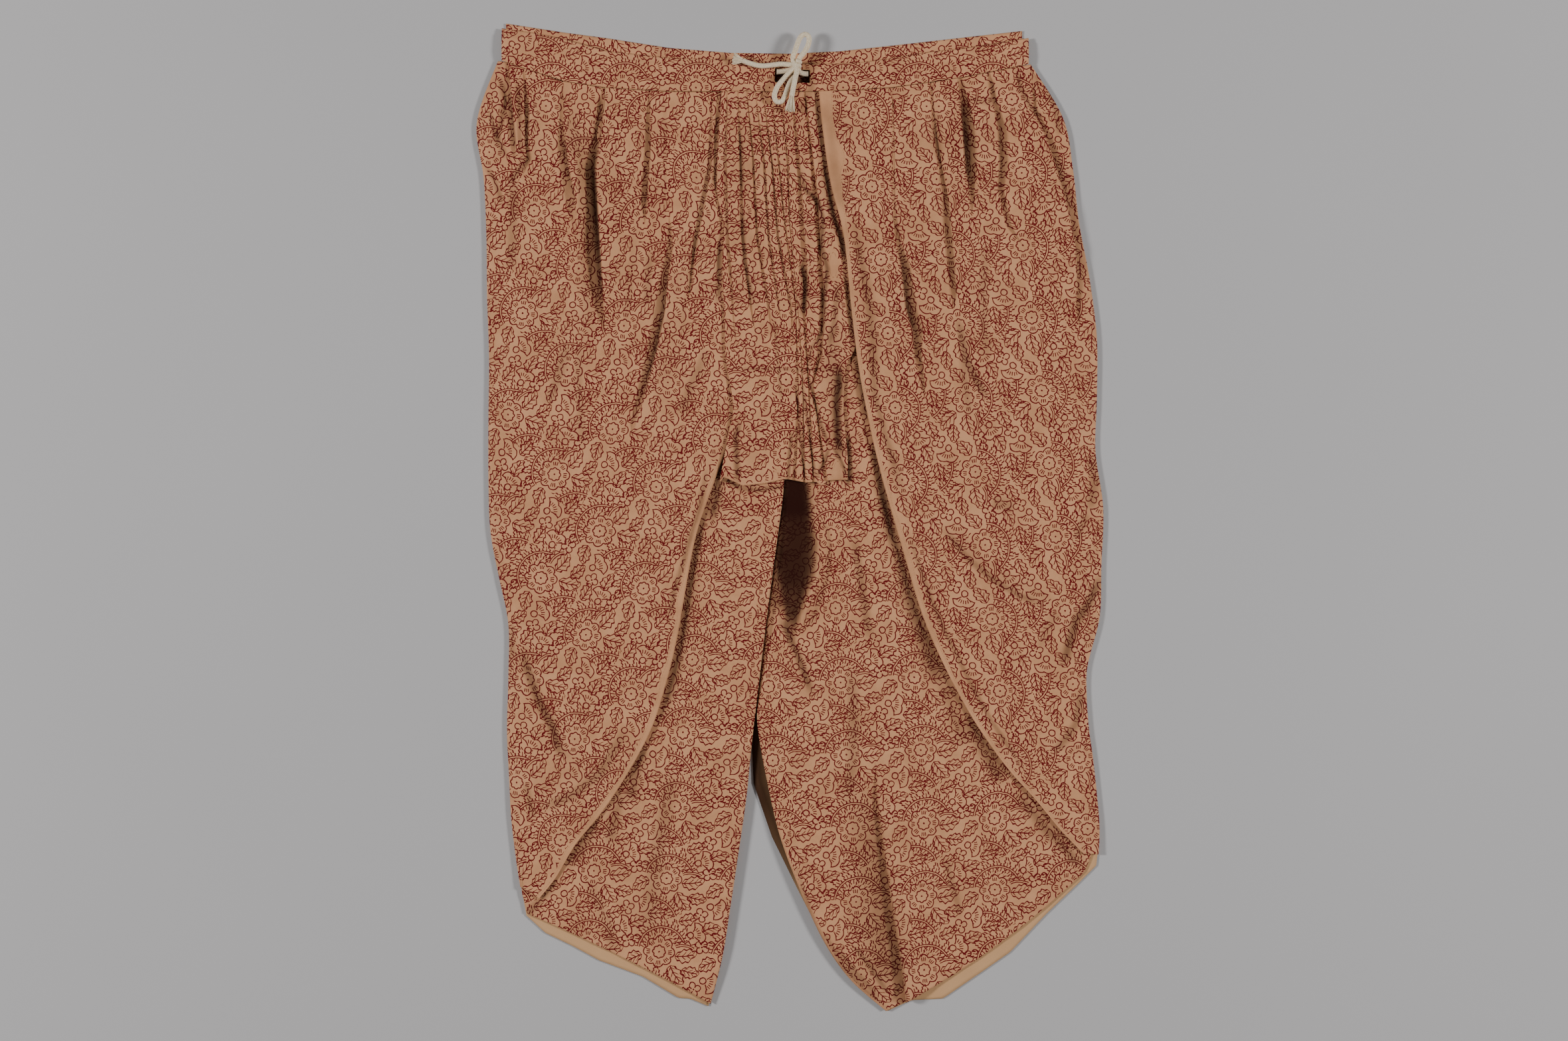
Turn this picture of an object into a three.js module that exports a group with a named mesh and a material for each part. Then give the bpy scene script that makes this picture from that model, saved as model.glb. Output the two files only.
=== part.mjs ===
// Dhoti salwar: draped cotton trousers with a drawstring waist, laid flat with the front up.
// Millimetres. +X is to the viewer's right, +Y runs from the hems to the waist and +Z is up from the
// surface that the garment lies on. The origin is under the middle of the garment's bounding box.
import * as THREE from 'three';

// ---- driving dimensions ---------------------------------------------------------------------------
const CLOTH = 1.3;              // wall of one layer of cloth
const BACK_CLOTH = 1.2;         // wall of the back panels and the back band, which lie on the surface
const BAND_CLOTH = 1.8;         // wall of the front band, cloth folded double
const SEAM_GAP = 0.35;          // pieces that are sewn together end this far apart
const SIDE_INSET = 11;          // the under-legs end this far inside the drapes at the side seams
const STEP = 1.6;               // run of the steep side of a pleat
const CREST_FALL = 0.9;         // how evenly a pleat falls away behind its fold, 1 is a straight slope
const ROW = 26;                 // spacing of the rows of a panel, down the garment
const COLUMN = 17;              // widest spacing of the columns of a panel, across the garment
const CORD_DIAMETER = 5;        // cotton drawstring
const CORD_SIDES = 8;
const CORD_STEP = 7;            // spacing of the sections along the drawstring
const TUFT_SIDES = 12;
const TUFT_SWELL = 1.16;        // how much wider a frayed tuft is than the cord, part of the way along

const PRINTED_COTTON = { color: 0xc59c79, roughness: 0.92, metalness: 0 };
const PLAIN_COTTON = { color: 0xb88f6b, roughness: 0.94, metalness: 0 };
const CORD_COTTON = { color: 0xd9cdb8, roughness: 0.95, metalness: 0 };

// ---- section tables: a row is one line across a panel, from its left end to its right end ------------
// left x, left y, left z | middle z | right x, right y, right z | bow: how far the middle hangs below
const DRAPE_LEFT = {
  leftEdge: { hold: 0, fade: 12 }, rightEdge: { hold: 5, fade: 10 }, columns: COLUMN,
  rows: [
    [-286.5, 447.0, 3.0, 4.9, -51.8, 416.9, 4.9, 6],
    [-307.0, 387.4, 3.0, 4.9, -51.8, 364.5, 4.9, 4],
    [-300.2, 331.9, 3.0, 5.2, -51.8, 299.3, 4.9, 2],
    [-297.6, 273.3, 3.0, 5.4, -51.8, 227.6, 4.9, 0],
    [-296.9, 214.6, 3.0, 5.6, -50.5, 155.9, 4.9, 0],
    [-295.0, 155.9, 3.0, 5.8, -53.1, 97.2, 4.9, 0],
    [-295.6, 97.2, 3.0, 6.0, -73.9, 35.3, 5.0, 0],
    [-295.6, 38.5, 3.0, 6.2, -90.9, -13.6, 6.4, 0],
    [-293.7, -13.6, 3.0, 6.2, -101.3, -65.8, 6.8, 0],
    [-285.2, -59.3, 3.0, 6.2, -110.4, -117.9, 6.8, 0],
    [-276.1, -104.9, 3.0, 6.2, -121.5, -163.6, 6.8, 0],
    [-276.1, -157.1, 3.0, 6.2, -136.5, -209.2, 6.8, 0],
    [-277.4, -209.2, 3.0, 6.0, -161.3, -254.9, 6.6, 0],
    [-275.4, -254.9, 3.0, 5.8, -185.4, -290.7, 6.4, 0],
    [-273.4, -294.0, 3.0, 5.4, -209.6, -320.1, 6.2, 0],
    [-268.9, -333.1, 3.2, 5.2, -229.1, -352.7, 5.8, 0],
    [-264.3, -362.4, 4.2, 4.9, -246.0, -374.0, 5.4, 0],
  ],
};
const DRAPE_RIGHT = {
  leftEdge: { hold: 9, fade: 14 }, rightEdge: { hold: 0, fade: 12 }, columns: COLUMN,
  rows: [
    [28.4, 416.9, 8.6, 4.9, 236.4, 443.7, 3.0, 5],
    [31.7, 382.8, 8.8, 4.9, 267.7, 391.9, 3.0, 3],
    [39.5, 328.7, 9.0, 5.2, 277.5, 341.7, 3.0, 0],
    [52.6, 276.5, 9.0, 5.4, 283.4, 289.6, 3.0, 0],
    [59.1, 214.6, 8.8, 5.6, 293.8, 234.1, 3.0, 0],
    [66.9, 149.4, 8.4, 5.8, 301.0, 175.5, 3.0, 0],
    [78.6, 87.4, 7.6, 6.0, 301.0, 116.8, 3.0, 0],
    [91.7, 33.3, 7.2, 6.2, 299.7, 64.6, 3.0, 0],
    [111.2, -34.5, 7.0, 6.2, 307.2, 9.2, 3.0, 0],
    [129.5, -95.1, 7.0, 6.2, 305.5, -46.2, 3.0, 0],
    [150.4, -144.0, 7.0, 6.2, 303.6, -98.4, 3.0, 0],
    [173.8, -188.4, 7.0, 6.0, 291.2, -150.5, 3.0, 0],
    [194.7, -221.0, 6.8, 6.0, 292.5, -199.4, 3.0, 0],
    [215.6, -249.0, 6.6, 5.8, 297.1, -235.3, 3.0, 0],
    [240.3, -276.4, 6.4, 5.4, 301.0, -271.2, 3.0, 0],
    [265.1, -306.4, 6.0, 5.2, 303.6, -303.8, 3.4, 0],
    [288.0, -330.2, 5.2, 4.9, 302.6, -330.6, 4.4, 0],
  ],
};
const LEG_LEFT = {
  leftEdge: { hold: 2, fade: 10 }, rightEdge: { hold: 4, fade: 16 }, columns: 26,
  rows: [
    [-283.2 + SIDE_INSET, 442.8, 2.9, 2.9, -3.2, 416.9, 2.9, 6],
    [-303.4 + SIDE_INSET, 384.1, 2.9, 2.9, -3.2, 358.0, 2.9, 4],
    [-295.6 + SIDE_INSET, 292.8, 2.9, 2.9, -3.2, 260.2, 2.9, 0],
    [-294.3 + SIDE_INSET, 201.5, 2.9, 2.9, -3.2, 162.4, 2.9, 0],
    [-292.4 + SIDE_INSET, 116.8, 2.9, 2.9, -4.0, 84.2, 2.9, 0],
    [-293.0 + SIDE_INSET, 38.5, 2.9, 2.9, -6.1, 28.8, 4.4, 0],
    [-291.1 + SIDE_INSET, -13.6, 2.9, 3.0, -11.3, -13.6, 6.0, 0],
    [-281.9 + SIDE_INSET, -59.3, 2.9, 3.0, -17.9, -62.5, 7.0, 0],
    [-273.4 + SIDE_INSET, -117.9, 2.9, 3.0, -25.0, -117.9, 7.0, 0],
    [-274.1 + SIDE_INSET, -176.6, 2.9, 3.0, -31.6, -173.4, 6.4, 0],
    [-274.8 + SIDE_INSET, -222.3, 2.9, 3.0, -37.4, -222.3, 5.4, 0],
    [-272.8 + SIDE_INSET, -274.4, 2.9, 3.0, -42.6, -274.4, 4.6, 0],
    [-268.2 + SIDE_INSET, -326.6, 2.9, 3.0, -50.5, -329.8, 4.2, 0],
    [-263.0, -362.4, 2.9, 3.0, -58.3, -382.0, 4.0, 0],
    [-260.0, -378.7, 2.9, 3.0, -66.1, -430.9, 3.8, 0],
    [-257.8, -388.6, 2.9, 2.9, -77.8, -477.4, 3.4, -3],
  ],
};
const LEG_RIGHT = {
  leftEdge: { hold: 4, fade: 16 }, rightEdge: { hold: 2, fade: 10 }, columns: 26,
  rows: [
    [-2.8, 416.9, 2.9, 2.9, 233.8 - SIDE_INSET, 440.2, 2.9, 5],
    [-2.8, 358.0, 2.9, 2.9, 267.7 - SIDE_INSET, 384.1, 2.9, 3],
    [-2.8, 260.2, 2.9, 2.9, 280.8 - SIDE_INSET, 292.8, 2.9, 0],
    [-2.8, 162.4, 2.9, 2.9, 297.7 - SIDE_INSET, 175.5, 2.9, 0],
    [-3.6, 84.2, 2.9, 2.9, 299.0 - SIDE_INSET, 90.7, 2.9, 0],
    [-5.5, 28.8, 2.9, 2.9, 300.3 - SIDE_INSET, 38.5, 2.9, 0],
    [-10.6, -13.6, 2.9, 3.0, 303.6 - SIDE_INSET, -13.6, 2.9, 0],
    [-17.2, -62.5, 2.9, 3.0, 303.6 - SIDE_INSET, -59.3, 2.9, 0],
    [-24.3, -117.9, 2.9, 3.0, 300.3 - SIDE_INSET, -104.9, 2.9, 0],
    [-30.6, -173.4, 3.4, 3.0, 289.9 - SIDE_INSET, -150.5, 2.9, 0],
    [-31.6, -205.3, 4.0, 3.0, 289.9 - SIDE_INSET, -170.1, 2.9, 0],
    [-21.8, -261.4, 4.4, 3.0, 292.5 - SIDE_INSET, -199.4, 2.9, 0],
    [-9.4, -313.5, 4.4, 3.0, 297.1 - SIDE_INSET, -235.3, 2.9, 2],
    [10.2, -365.7, 4.2, 3.0, 300.3 - SIDE_INSET, -267.9, 2.9, 5],
    [33.0, -415.3, 4.0, 3.0, 301.6 - SIDE_INSET, -297.2, 2.9, 8],
    [59.1, -453.1, 3.8, 3.0, 299.0 - 2, -323.3, 2.9, 10],
    [94.3, -484.4, 3.4, 3.0, 288.6, -348.1, 2.9, 12],
  ],
};
const CENTRE = {
  leftEdge: { hold: 20, fade: 22 }, rightEdge: { hold: 8, fade: 10 }, columns: 9,
  rows: [
    [-66.8, 416.9, 8.5, 5.6, 34.7, 416.9, 5.0, 0],
    [-69.4, 377.6, 8.5, 5.6, 37.0, 377.6, 5.0, 0],
    [-71.3, 318.9, 8.5, 5.6, 44.5, 325.4, 5.0, 0],
    [-64.8, 286.3, 8.4, 5.6, 56.2, 283.0, 5.0, 0],
    [-66.1, 247.2, 8.0, 5.8, 63.1, 221.1, 5.0, 0],
    [-64.2, 195.0, 8.0, 5.8, 64.7, 168.9, 5.0, 0],
    [-62.9, 155.9, 8.0, 5.8, 55.6, 148.5, 5.4, 0],
    [-55.7, 110.3, 8.0, 5.8, 52.6, 110.6, 5.6, 0],
    [-59.6, 84.2, 8.0, 5.8, 53.9, 87.2, 5.8, 0],
    [-64.8, 58.1, 8.0, 5.8, 56.5, 60.6, 6.0, 0],
    [-68.7, 35.9, 8.0, 5.8, 56.5, 35.3, 6.4, -2],
  ],
};
// the back panels: their hems hang below the front hems, and the rest follows the front pieces
const BACK_LEFT_HEM = [
  [-258.5, -391], [-240, -408], [-213, -421], [-187, -435], [-144, -451], [-109, -472], [-98, -472.5], [-80, -480],
];
const BACK_RIGHT_HEM = [
  [300.5, -342], [284, -358.5], [252, -389], [216, -427], [188, -446.5], [150, -472.5], [119, -474], [96, -484.6],
];
const BACK_TOP = { left: -278, right: 227.5 };
const BACK_INSET = 0.6;         // the back panels end this far inside the front pieces, at side and inner leg
const CENTRE_SEAM = -3;         // x of the seam between the two back panels, above the crotch
// x | seam y | top edge y, from the left end to the right end of each half of the waistband
const BAND_BACK_ROWS = [
  [-278.7, 449.3, 484.6], [-223.2, 434.9, 476.0], [-179.6, 427.1, 470.2], [-119.6, 421.9, 460.8],
  [-59.6, 419.3, 455.9], [0.4, 418.0, 455.0], [50.0, 418.8, 457.5], [100.8, 420.6, 463.0],
  [169.9, 432.3, 470.8], [227.9, 445.4, 477.3],
];
const BAND_FRONT_ROWS = [
  [-282.5, 447.6, 479.5], [-253.9, 438.0, 475.4], [-221.3, 427.4, 468.9], [-179.6, 421.0, 457.1],
  [-119.6, 417.4, 450.6], [-59.6, 417.3, 448.6], [-14.6, 417.3, 446.7], [19.3, 417.3, 444.1],
  [34.9, 417.6, 444.3], [70.2, 419.2, 446.0], [100.1, 421.3, 449.9], [138.6, 426.6, 456.5],
  [169.9, 431.4, 459.7], [203.2, 438.0, 464.9], [234.0, 444.1, 470.0],
];
const BAND_FRONT_HEIGHTS = [8.4, 8.6, 8.3, 6.8, 5.4, 4.2];     // z from the seam to the top edge
const BAND_FRONT_LINES = [0, 0.14, 0.3, 0.78, 0.9, 1];         // where those heights lie, seam 0, top 1
const BAND_SIDE_DROP = [2.6, 2.6, 2.2, 1.4, 0.9, 0.6];         // how much lower it lies at its two ends
const SLIT = { left: -14.6, right: 19.3, lineBelow: 2, lineAbove: 3 };

// ---- pleats: the side that the fold edge faces, then its run as x, y, height -----------------------------
const LEFT = -1;
const RIGHT = 1;
const DRAPE_LEFT_PLEATS = [
  { side: LEFT, run: [[-272.9, 446, 1.6], [-271.5, 400, 4.0], [-271.5, 340, 4.2], [-270, 318, 0]] },
  { side: LEFT, run: [[-259.5, 440, 1.6], [-257.5, 400, 4.0], [-258, 350, 3.6], [-262, 330, 0]] },
  { side: LEFT, run: [[-219.3, 426, 1.6], [-219.3, 367, 6.0], [-215.4, 339, 5.4], [-199.1, 290, 0]] },
  { side: LEFT, run: [[-179.6, 422, 1.8], [-189.3, 345, 8.0], [-190.6, 274, 8.6], [-180.9, 190, 0]] },
  { side: LEFT, run: [[-136.5, 420, 1.6], [-138.5, 355, 5.6], [-143, 305, 5.6], [-125.4, 230, 0]] },
  { side: LEFT, run: [[-78.5, 417, 1.0], [-80.5, 343, 2.8], [-82.4, 321, 2.8], [-98.1, 240, 0]] },
];
const DRAPE_RIGHT_PLEATS = [
  { side: RIGHT, run: [[100.1, 420, 1.2], [100.1, 370, 2.6], [100.5, 320, 0]] },
  { side: RIGHT, run: [[137, 425, 1.6], [149, 328, 5.4], [153, 271, 5.4], [153, 222, 0]] },
  { side: RIGHT, run: [[168.6, 430, 1.8], [171.2, 367, 8.2], [177.7, 324, 8.0], [181, 296, 0]] },
  { side: RIGHT, run: [[195.3, 436, 1.6], [207, 367, 5.6], [210.5, 311, 5.6], [231, 275, 5.0], [254.7, 258, 0]] },
  { side: RIGHT, run: [[238, 438, 1.4], [257.9, 351, 4.4], [279, 290, 4.4], [286, 213, 0]] },
];
const CENTRE_PLEATS = [
  { side: LEFT, run: [[-60.5, 417, 0.9], [-62, 352, 2.2], [-60, 276, 2.4], [-53, 182, 1.2], [-50, 156, 0]] },
  { side: LEFT, run: [[-50, 417, 0.9], [-47, 352, 2.8], [-45, 276, 3.0], [-38, 213, 2.4], [-30, 160, 0]] },
  { side: LEFT, run: [[-41.5, 417, 0.9], [-35, 352, 2.4], [-31, 276, 2.6], [-20, 208, 2.0], [-14, 160, 0]] },
  { side: LEFT, run: [[-33, 417, 0.9], [-24, 345, 2.2], [-20, 276, 2.2], [-11, 213, 1.6], [-4, 165, 0]] },
  { side: LEFT, run: [[-25.5, 417, 0.9], [-16.5, 345, 2.2], [-11, 276, 2.2], [3, 199, 1.8], [4, 150, 0]] },
  { side: LEFT, run: [[-17, 417, 0.9], [-10, 345, 2.0], [-5.5, 300, 2.0], [6, 212, 1.4], [9, 125, 1.6], [7, 60, 2.4],
    [5, 36, 2.6]] },
  { side: LEFT, run: [[-8, 417, 0.9], [-1, 345, 2.0], [0, 290, 1.6], [9.5, 190, 1.0], [13, 130, 1.6], [15, 36, 2.4]] },
  { side: LEFT, run: [[3, 417, 0.9], [10, 345, 3.4], [17, 240, 3.8], [15, 196, 2.4], [19, 130, 1.8], [24, 36, 2.4]] },
  { side: LEFT, run: [[15, 417, 0.9], [28, 310, 5.2], [34, 215, 4.8], [32, 160, 4.6], [23, 130, 2.8], [37, 36, 3.0]] },
];

// ---- soft creases that cross a panel: height and half width, then the run as x, y ---------------------------
const DRAPE_LEFT_CREASES = [
  { height: 2.2, width: 12, run: [[-129, 182], [-146, 130], [-159, 83]] },
  { height: 2.6, width: 14, run: [[-272, -100], [-262, -165], [-240, -215], [-205, -265]] },
  { height: 1.8, width: 14, run: [[-285, 60], [-262, -20], [-225, -90], [-170, -160]] },
];
const DRAPE_RIGHT_CREASES = [
  { height: 3.6, width: 13, run: [[148, -8], [180, -47], [214, -70], [249, -88], [278, -97]] },
  { height: 3.0, width: 11, run: [[292, -70], [278, -100], [262, -136]] },
  { height: 2.0, width: 12, run: [[134, 190], [150, 90], [190, 0]] },
  { height: 1.8, width: 12, run: [[186, 215], [200, 120], [240, 30]] },
];
const LEG_LEFT_CREASES = [
  { height: 1.6, width: 14, run: [[-60, -70], [-75, -200], [-95, -330]] },
];
const LEG_RIGHT_CREASES = [
  { height: 8.0, width: 10, run: [[23.5, 5], [26.5, -25], [23, -55], [10, -95], [-2, -120]] },
  { height: 3.4, width: 15, run: [[88, -140], [92, -271], [98, -330], [108, -435]] },
  { height: 3.0, width: 15, run: [[118, -190], [140, -270], [160, -360], [174, -420]] },
];

// ---- drawstring: where its stretches run ----------------------------------------------------------------
const KNOT = { x: 6.3, y: 441.2, z: 13.2, long: 14, wide: 10.5, high: 8 };
const CORD_RUNS = {
  drawstring_from_left: [[-12.9, 436.6, 5.4], [-10.5, 436.6, 5.6], [-6, 436.9, 6.9], [2.2, 438.2, 9.9]],
  drawstring_from_right: [[17.9, 434.5, 5.4], [15.8, 434.5, 5.6], [12.6, 434.6, 7.0], [8.2, 436.6, 8.9]],
  drawstring_end_left: [
    [0.7, 442.2, 13.3], [-9, 442.9, 12.4], [-15.5, 442.3, 11.6], [-27.5, 441.3, 11.2], [-38, 443.6, 10.6],
    [-46, 446.6, 10.2],
  ],
  drawstring_end_down: [[6.4, 434.4, 15.9], [5.0, 427, 17.8], [3.4, 419.5, 17.8], [1.8, 411, 16.4]],
  drawstring_loop_upper: [
    [2.9, 448.9, 13.2], [5.2, 456, 12.8], [8.0, 464.5, 12.2], [11.0, 470.2, 11.6], [15.2, 472.2, 11.4],
    [18.6, 469.0, 11.8], [18.0, 462.0, 12.6], [14.2, 454.5, 13.2], [9.7, 448.9, 13.2],
  ],
  drawstring_loop_lower: [
    [0.6, 435.4, 14.3], [-6.6, 427.8, 13.4], [-12.6, 420, 13.2], [-15.2, 411.5, 12.8], [-12.8, 406.2, 12.6],
    [-7.6, 406.8, 12.6], [-4.6, 412.5, 12.6], [-2.4, 419, 12.5], [0.6, 426.0, 12.0], [5.2, 433.6, 10.6],
  ],
};
// the frayed tufts: where each starts, where it ends, and its width and thickness at the end
const TUFTS = {
  drawstring_tuft_left: { from: [-46.6, 446.8, 10.2], to: [-55.5, 448.4, 9.8], wide: 12, thick: 4 },
  drawstring_tuft_down: { from: [1.6, 410.4, 16.3], to: [0.2, 397.0, 14.2], wide: 10, thick: 4 },
};

// ---- helpers --------------------------------------------------------------------------------------------
const lerp = (a, b, t) => a + (b - a) * t;
const clamp01 = (t) => Math.min(1, Math.max(0, t));
const smooth = (t) => clamp01(t) ** 2 * (3 - 2 * clamp01(t));

/** Smooth curve through the rows of a table, at t rows from the first, for one column. */
function catmull(rows, column, t) {
  const i = Math.min(rows.length - 2, Math.max(0, Math.floor(t)));
  const f = t - i;
  const at = (k) => rows[Math.min(rows.length - 1, Math.max(0, k))][column];
  const [a, b, c, d] = [at(i - 1), at(i), at(i + 1), at(i + 2)];
  return b + 0.5 * f * (c - a + f * (2 * a - 5 * b + 4 * c - d + f * (3 * (b - c) + d - a)));
}

/** Value of a run's column where it crosses height y; the run goes downwards and its ends carry on level. */
function runAt(run, column, y) {
  if (y >= run[0][1]) return run[0][column];
  for (let i = 1; i < run.length; i += 1) {
    if (y >= run[i][1]) {
      return lerp(run[i - 1][column], run[i][column], (run[i - 1][1] - y) / (run[i - 1][1] - run[i][1]));
    }
  }
  return run[run.length - 1][column];
}

/** Distance from a point to a run of x, y points. */
function distanceToRun(x, y, run) {
  let best = Infinity;
  for (let i = 1; i < run.length; i += 1) {
    const [ax, ay] = run[i - 1];
    const dx = run[i][0] - ax;
    const dy = run[i][1] - ay;
    const t = clamp01(((x - ax) * dx + (y - ay) * dy) / (dx * dx + dy * dy));
    best = Math.min(best, Math.hypot(x - ax - t * dx, y - ay - t * dy));
  }
  return best;
}

function creaseHeight(x, y, creases) {
  return creases.reduce((sum, { height, width, run }) => (
    sum + height * Math.exp(-((distanceToRun(x, y, run) / width) ** 2))), 0);
}

/** Height of the front band's seam at a place across the garment. */
function frontSeam(x) {
  const i = Math.max(1, BAND_FRONT_ROWS.findIndex((row) => row[0] >= x));
  const [a, b] = [BAND_FRONT_ROWS[i - 1], BAND_FRONT_ROWS[i]];
  return lerp(a[1], b[1], clamp01((x - a[0]) / (b[0] - a[0])));
}

/** One section line of a panel: its two ends and levels, smoothed down the table. */
function sectionAt(panel, t) {
  const [xl, yl, zl, zm, xr, yr, zr, bow] = panel.rows[0].map((_, column) => catmull(panel.rows, column, t));
  return { xl, yl, zl, zm, xr, yr, zr, bow, width: Math.hypot(xr - xl, yr - yl) };
}

function pointOnSection(section, u) {
  return [lerp(section.xl, section.xr, u), lerp(section.yl, section.yr, u) - section.bow * 4 * u * (1 - u)];
}

/** Level of the panel's cloth before its pleats: held up or down at the two ends, even between. */
function levelOnSection(panel, section, u) {
  const nearEnd = (distance, { hold, fade }) => 1 - smooth((distance - hold) / fade);
  const left = nearEnd(u * section.width, panel.leftEdge) * (section.zl - section.zm);
  const right = nearEnd((1 - u) * section.width, panel.rightEdge) * (section.zr - section.zm);
  return section.zm + left + right;
}

/** Where a pleat's fold crosses a section: the share of the section's width, and the fold's height. */
function foldOnSection(section, pleat) {
  const last = pleat.run[pleat.run.length - 1];
  let u = 0.5;
  for (let pass = 0; pass < 4; pass += 1) {
    const y = Math.max(last[1], pointOnSection(section, u)[1]);
    u = (runAt(pleat.run, 0, y) - section.xl) / (section.xr - section.xl);
  }
  return { u, height: runAt(pleat.run, 2, pointOnSection(section, u)[1]) };
}

/** The rows that a panel's mesh has, as places in its table. */
function rowPlaces(panel) {
  const places = [0];
  for (let i = 1; i < panel.rows.length; i += 1) {
    const [a, b] = [panel.rows[i - 1], panel.rows[i]];
    const run = Math.max(Math.hypot(b[0] - a[0], b[1] - a[1]), Math.hypot(b[4] - a[4], b[5] - a[5]));
    const parts = Math.max(1, Math.round(run / ROW));
    for (let k = 1; k <= parts; k += 1) places.push(i - 1 + k / parts);
  }
  return places;
}

/** A pleat's two guide lines on each row, the fold and its foot, kept in order across the panel. */
function guideLines(panel, pleats, sections) {
  const lastPlace = pleats.map(() => null);
  return sections.map((section) => {
    const guides = [{ u: 0, height: 0, fold: 0 }];
    pleats.forEach((pleat, k) => {
      const end = pleat.run[pleat.run.length - 1];
      const here = foldOnSection(section, pleat);
      if (pointOnSection(section, here.u)[1] < end[1] && lastPlace[k] !== null) here.u = lastPlace[k];
      lastPlace[k] = here.u;
      const foot = here.u + pleat.side * Math.min(STEP / section.width, 0.012);
      const fold = { u: here.u, height: here.height, fold: pleat.side };
      const valley = { u: foot, height: 0, fold: 0 };
      guides.push(...(pleat.side === LEFT ? [valley, fold] : [fold, valley]));
    });
    guides.push({ u: 1, height: 0, fold: 0 });
    return guides;
  });
}

/** Points of a panel's upper face, row by row, with columns along its pleats and evenly between them. */
function panelPoints(panel, pleats, creases) {
  const sections = rowPlaces(panel).map((t) => sectionAt(panel, t));
  const guides = guideLines(panel, pleats, sections);
  const parts = guides[0].slice(1).map((_, i) => {
    const widest = Math.max(...guides.map((g, r) => (g[i + 1].u - g[i].u) * sections[r].width));
    return Math.max(1, Math.round(widest / panel.columns));
  });
  return sections.map((section, r) => {
    const points = [];
    guides[r].forEach((guide, i) => {
      const next = guides[r][i + 1];
      for (let k = 0; k < (next ? parts[i] : 1); k += 1) {
        const t = next ? k / parts[i] : 0;
        const u = next ? lerp(guide.u, next.u, t) : 1;
        const fall = smooth(t) * (1 - CREST_FALL) + t * CREST_FALL;
        const behind = guide.fold === LEFT || t === 0 ? guide.height * (1 - fall) : 0;
        const before = next && next.fold === RIGHT ? next.height * fall : 0;
        const [x, onLine] = pointOnSection(section, u);
        const y = r === 0 ? frontSeam(x) - SEAM_GAP : onLine;
        points.push([x, y, levelOnSection(panel, section, u) + behind + before + creaseHeight(x, y, creases)]);
      }
    });
    return points;
  });
}

const subtract = (a, b) => [a[0] - b[0], a[1] - b[1], a[2] - b[2]];
const cross = (a, b) => [
  a[1] * b[2] - a[2] * b[1], a[2] * b[0] - a[0] * b[2], a[0] * b[1] - a[1] * b[0],
];

/** Upward unit normal of a grid of points at one of them. */
function gridNormal(grid, r, c) {
  const rowAt = (k) => grid[Math.min(grid.length - 1, Math.max(0, k))];
  const columnAt = (k) => Math.min(grid[0].length - 1, Math.max(0, k));
  const across = subtract(grid[r][columnAt(c + 1)], grid[r][columnAt(c - 1)]);
  const along = subtract(rowAt(r - 1)[c], rowAt(r + 1)[c]);
  const n = cross(across, along);
  const length = Math.hypot(...n);
  return n.map((value) => value / length);
}

/** The wall under a grid of upper points: rows go down the panel and columns to the right. */
function wallFromGrid(grid, thickness, isOpen = () => false) {
  const [rows, columns] = [grid.length, grid[0].length];
  const under = grid.map((row, r) => row.map((point, c) => {
    const n = gridNormal(grid, r, c);
    const scale = thickness / Math.max(n[2], 0.8);
    return point.map((value, axis) => value - n[axis] * scale);
  }));
  const positions = [...grid.flat(), ...under.flat()].flat();
  const top = (r, c) => r * columns + c;
  const bottom = (r, c) => rows * columns + r * columns + c;
  const solid = (r, c) => r >= 0 && c >= 0 && r < rows - 1 && c < columns - 1 && !isOpen(r, c);
  const index = [];
  const quad = (a, b, c, d) => index.push(a, b, c, a, c, d);
  for (let r = 0; r < rows - 1; r += 1) {
    for (let c = 0; c < columns - 1; c += 1) {
      if (!solid(r, c)) continue;
      quad(top(r, c), top(r + 1, c), top(r + 1, c + 1), top(r, c + 1));
      quad(bottom(r, c), bottom(r, c + 1), bottom(r + 1, c + 1), bottom(r + 1, c));
      if (!solid(r - 1, c)) quad(top(r, c + 1), bottom(r, c + 1), bottom(r, c), top(r, c));
      if (!solid(r + 1, c)) quad(top(r + 1, c), bottom(r + 1, c), bottom(r + 1, c + 1), top(r + 1, c + 1));
      if (!solid(r, c - 1)) quad(top(r, c), bottom(r, c), bottom(r + 1, c), top(r + 1, c));
      if (!solid(r, c + 1)) quad(top(r + 1, c + 1), bottom(r + 1, c + 1), bottom(r, c + 1), top(r, c + 1));
    }
  }
  const geometry = new THREE.BufferGeometry();
  geometry.setAttribute('position', new THREE.Float32BufferAttribute(positions, 3));
  geometry.setIndex(index);
  return geometry;
}

function named(name, geometry, finish) {
  const mesh = new THREE.Mesh(geometry, new THREE.MeshStandardMaterial(finish));
  mesh.name = name;
  return mesh;
}

// ---- pieces ---------------------------------------------------------------------------------------------
function pleatedPanel(name, panel, pleats, creases) {
  return named(name, wallFromGrid(panelPoints(panel, pleats, creases), CLOTH), PRINTED_COTTON);
}

/** A back panel lies flat on the surface, a plain outline of even thickness. */
function backPanel(name, outline) {
  const shape = new THREE.Shape(outline.map(([x, y]) => new THREE.Vector2(x, y)));
  return named(name, new THREE.ExtrudeGeometry(shape, { depth: BACK_CLOTH, bevelEnabled: false }), PLAIN_COTTON);
}

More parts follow.
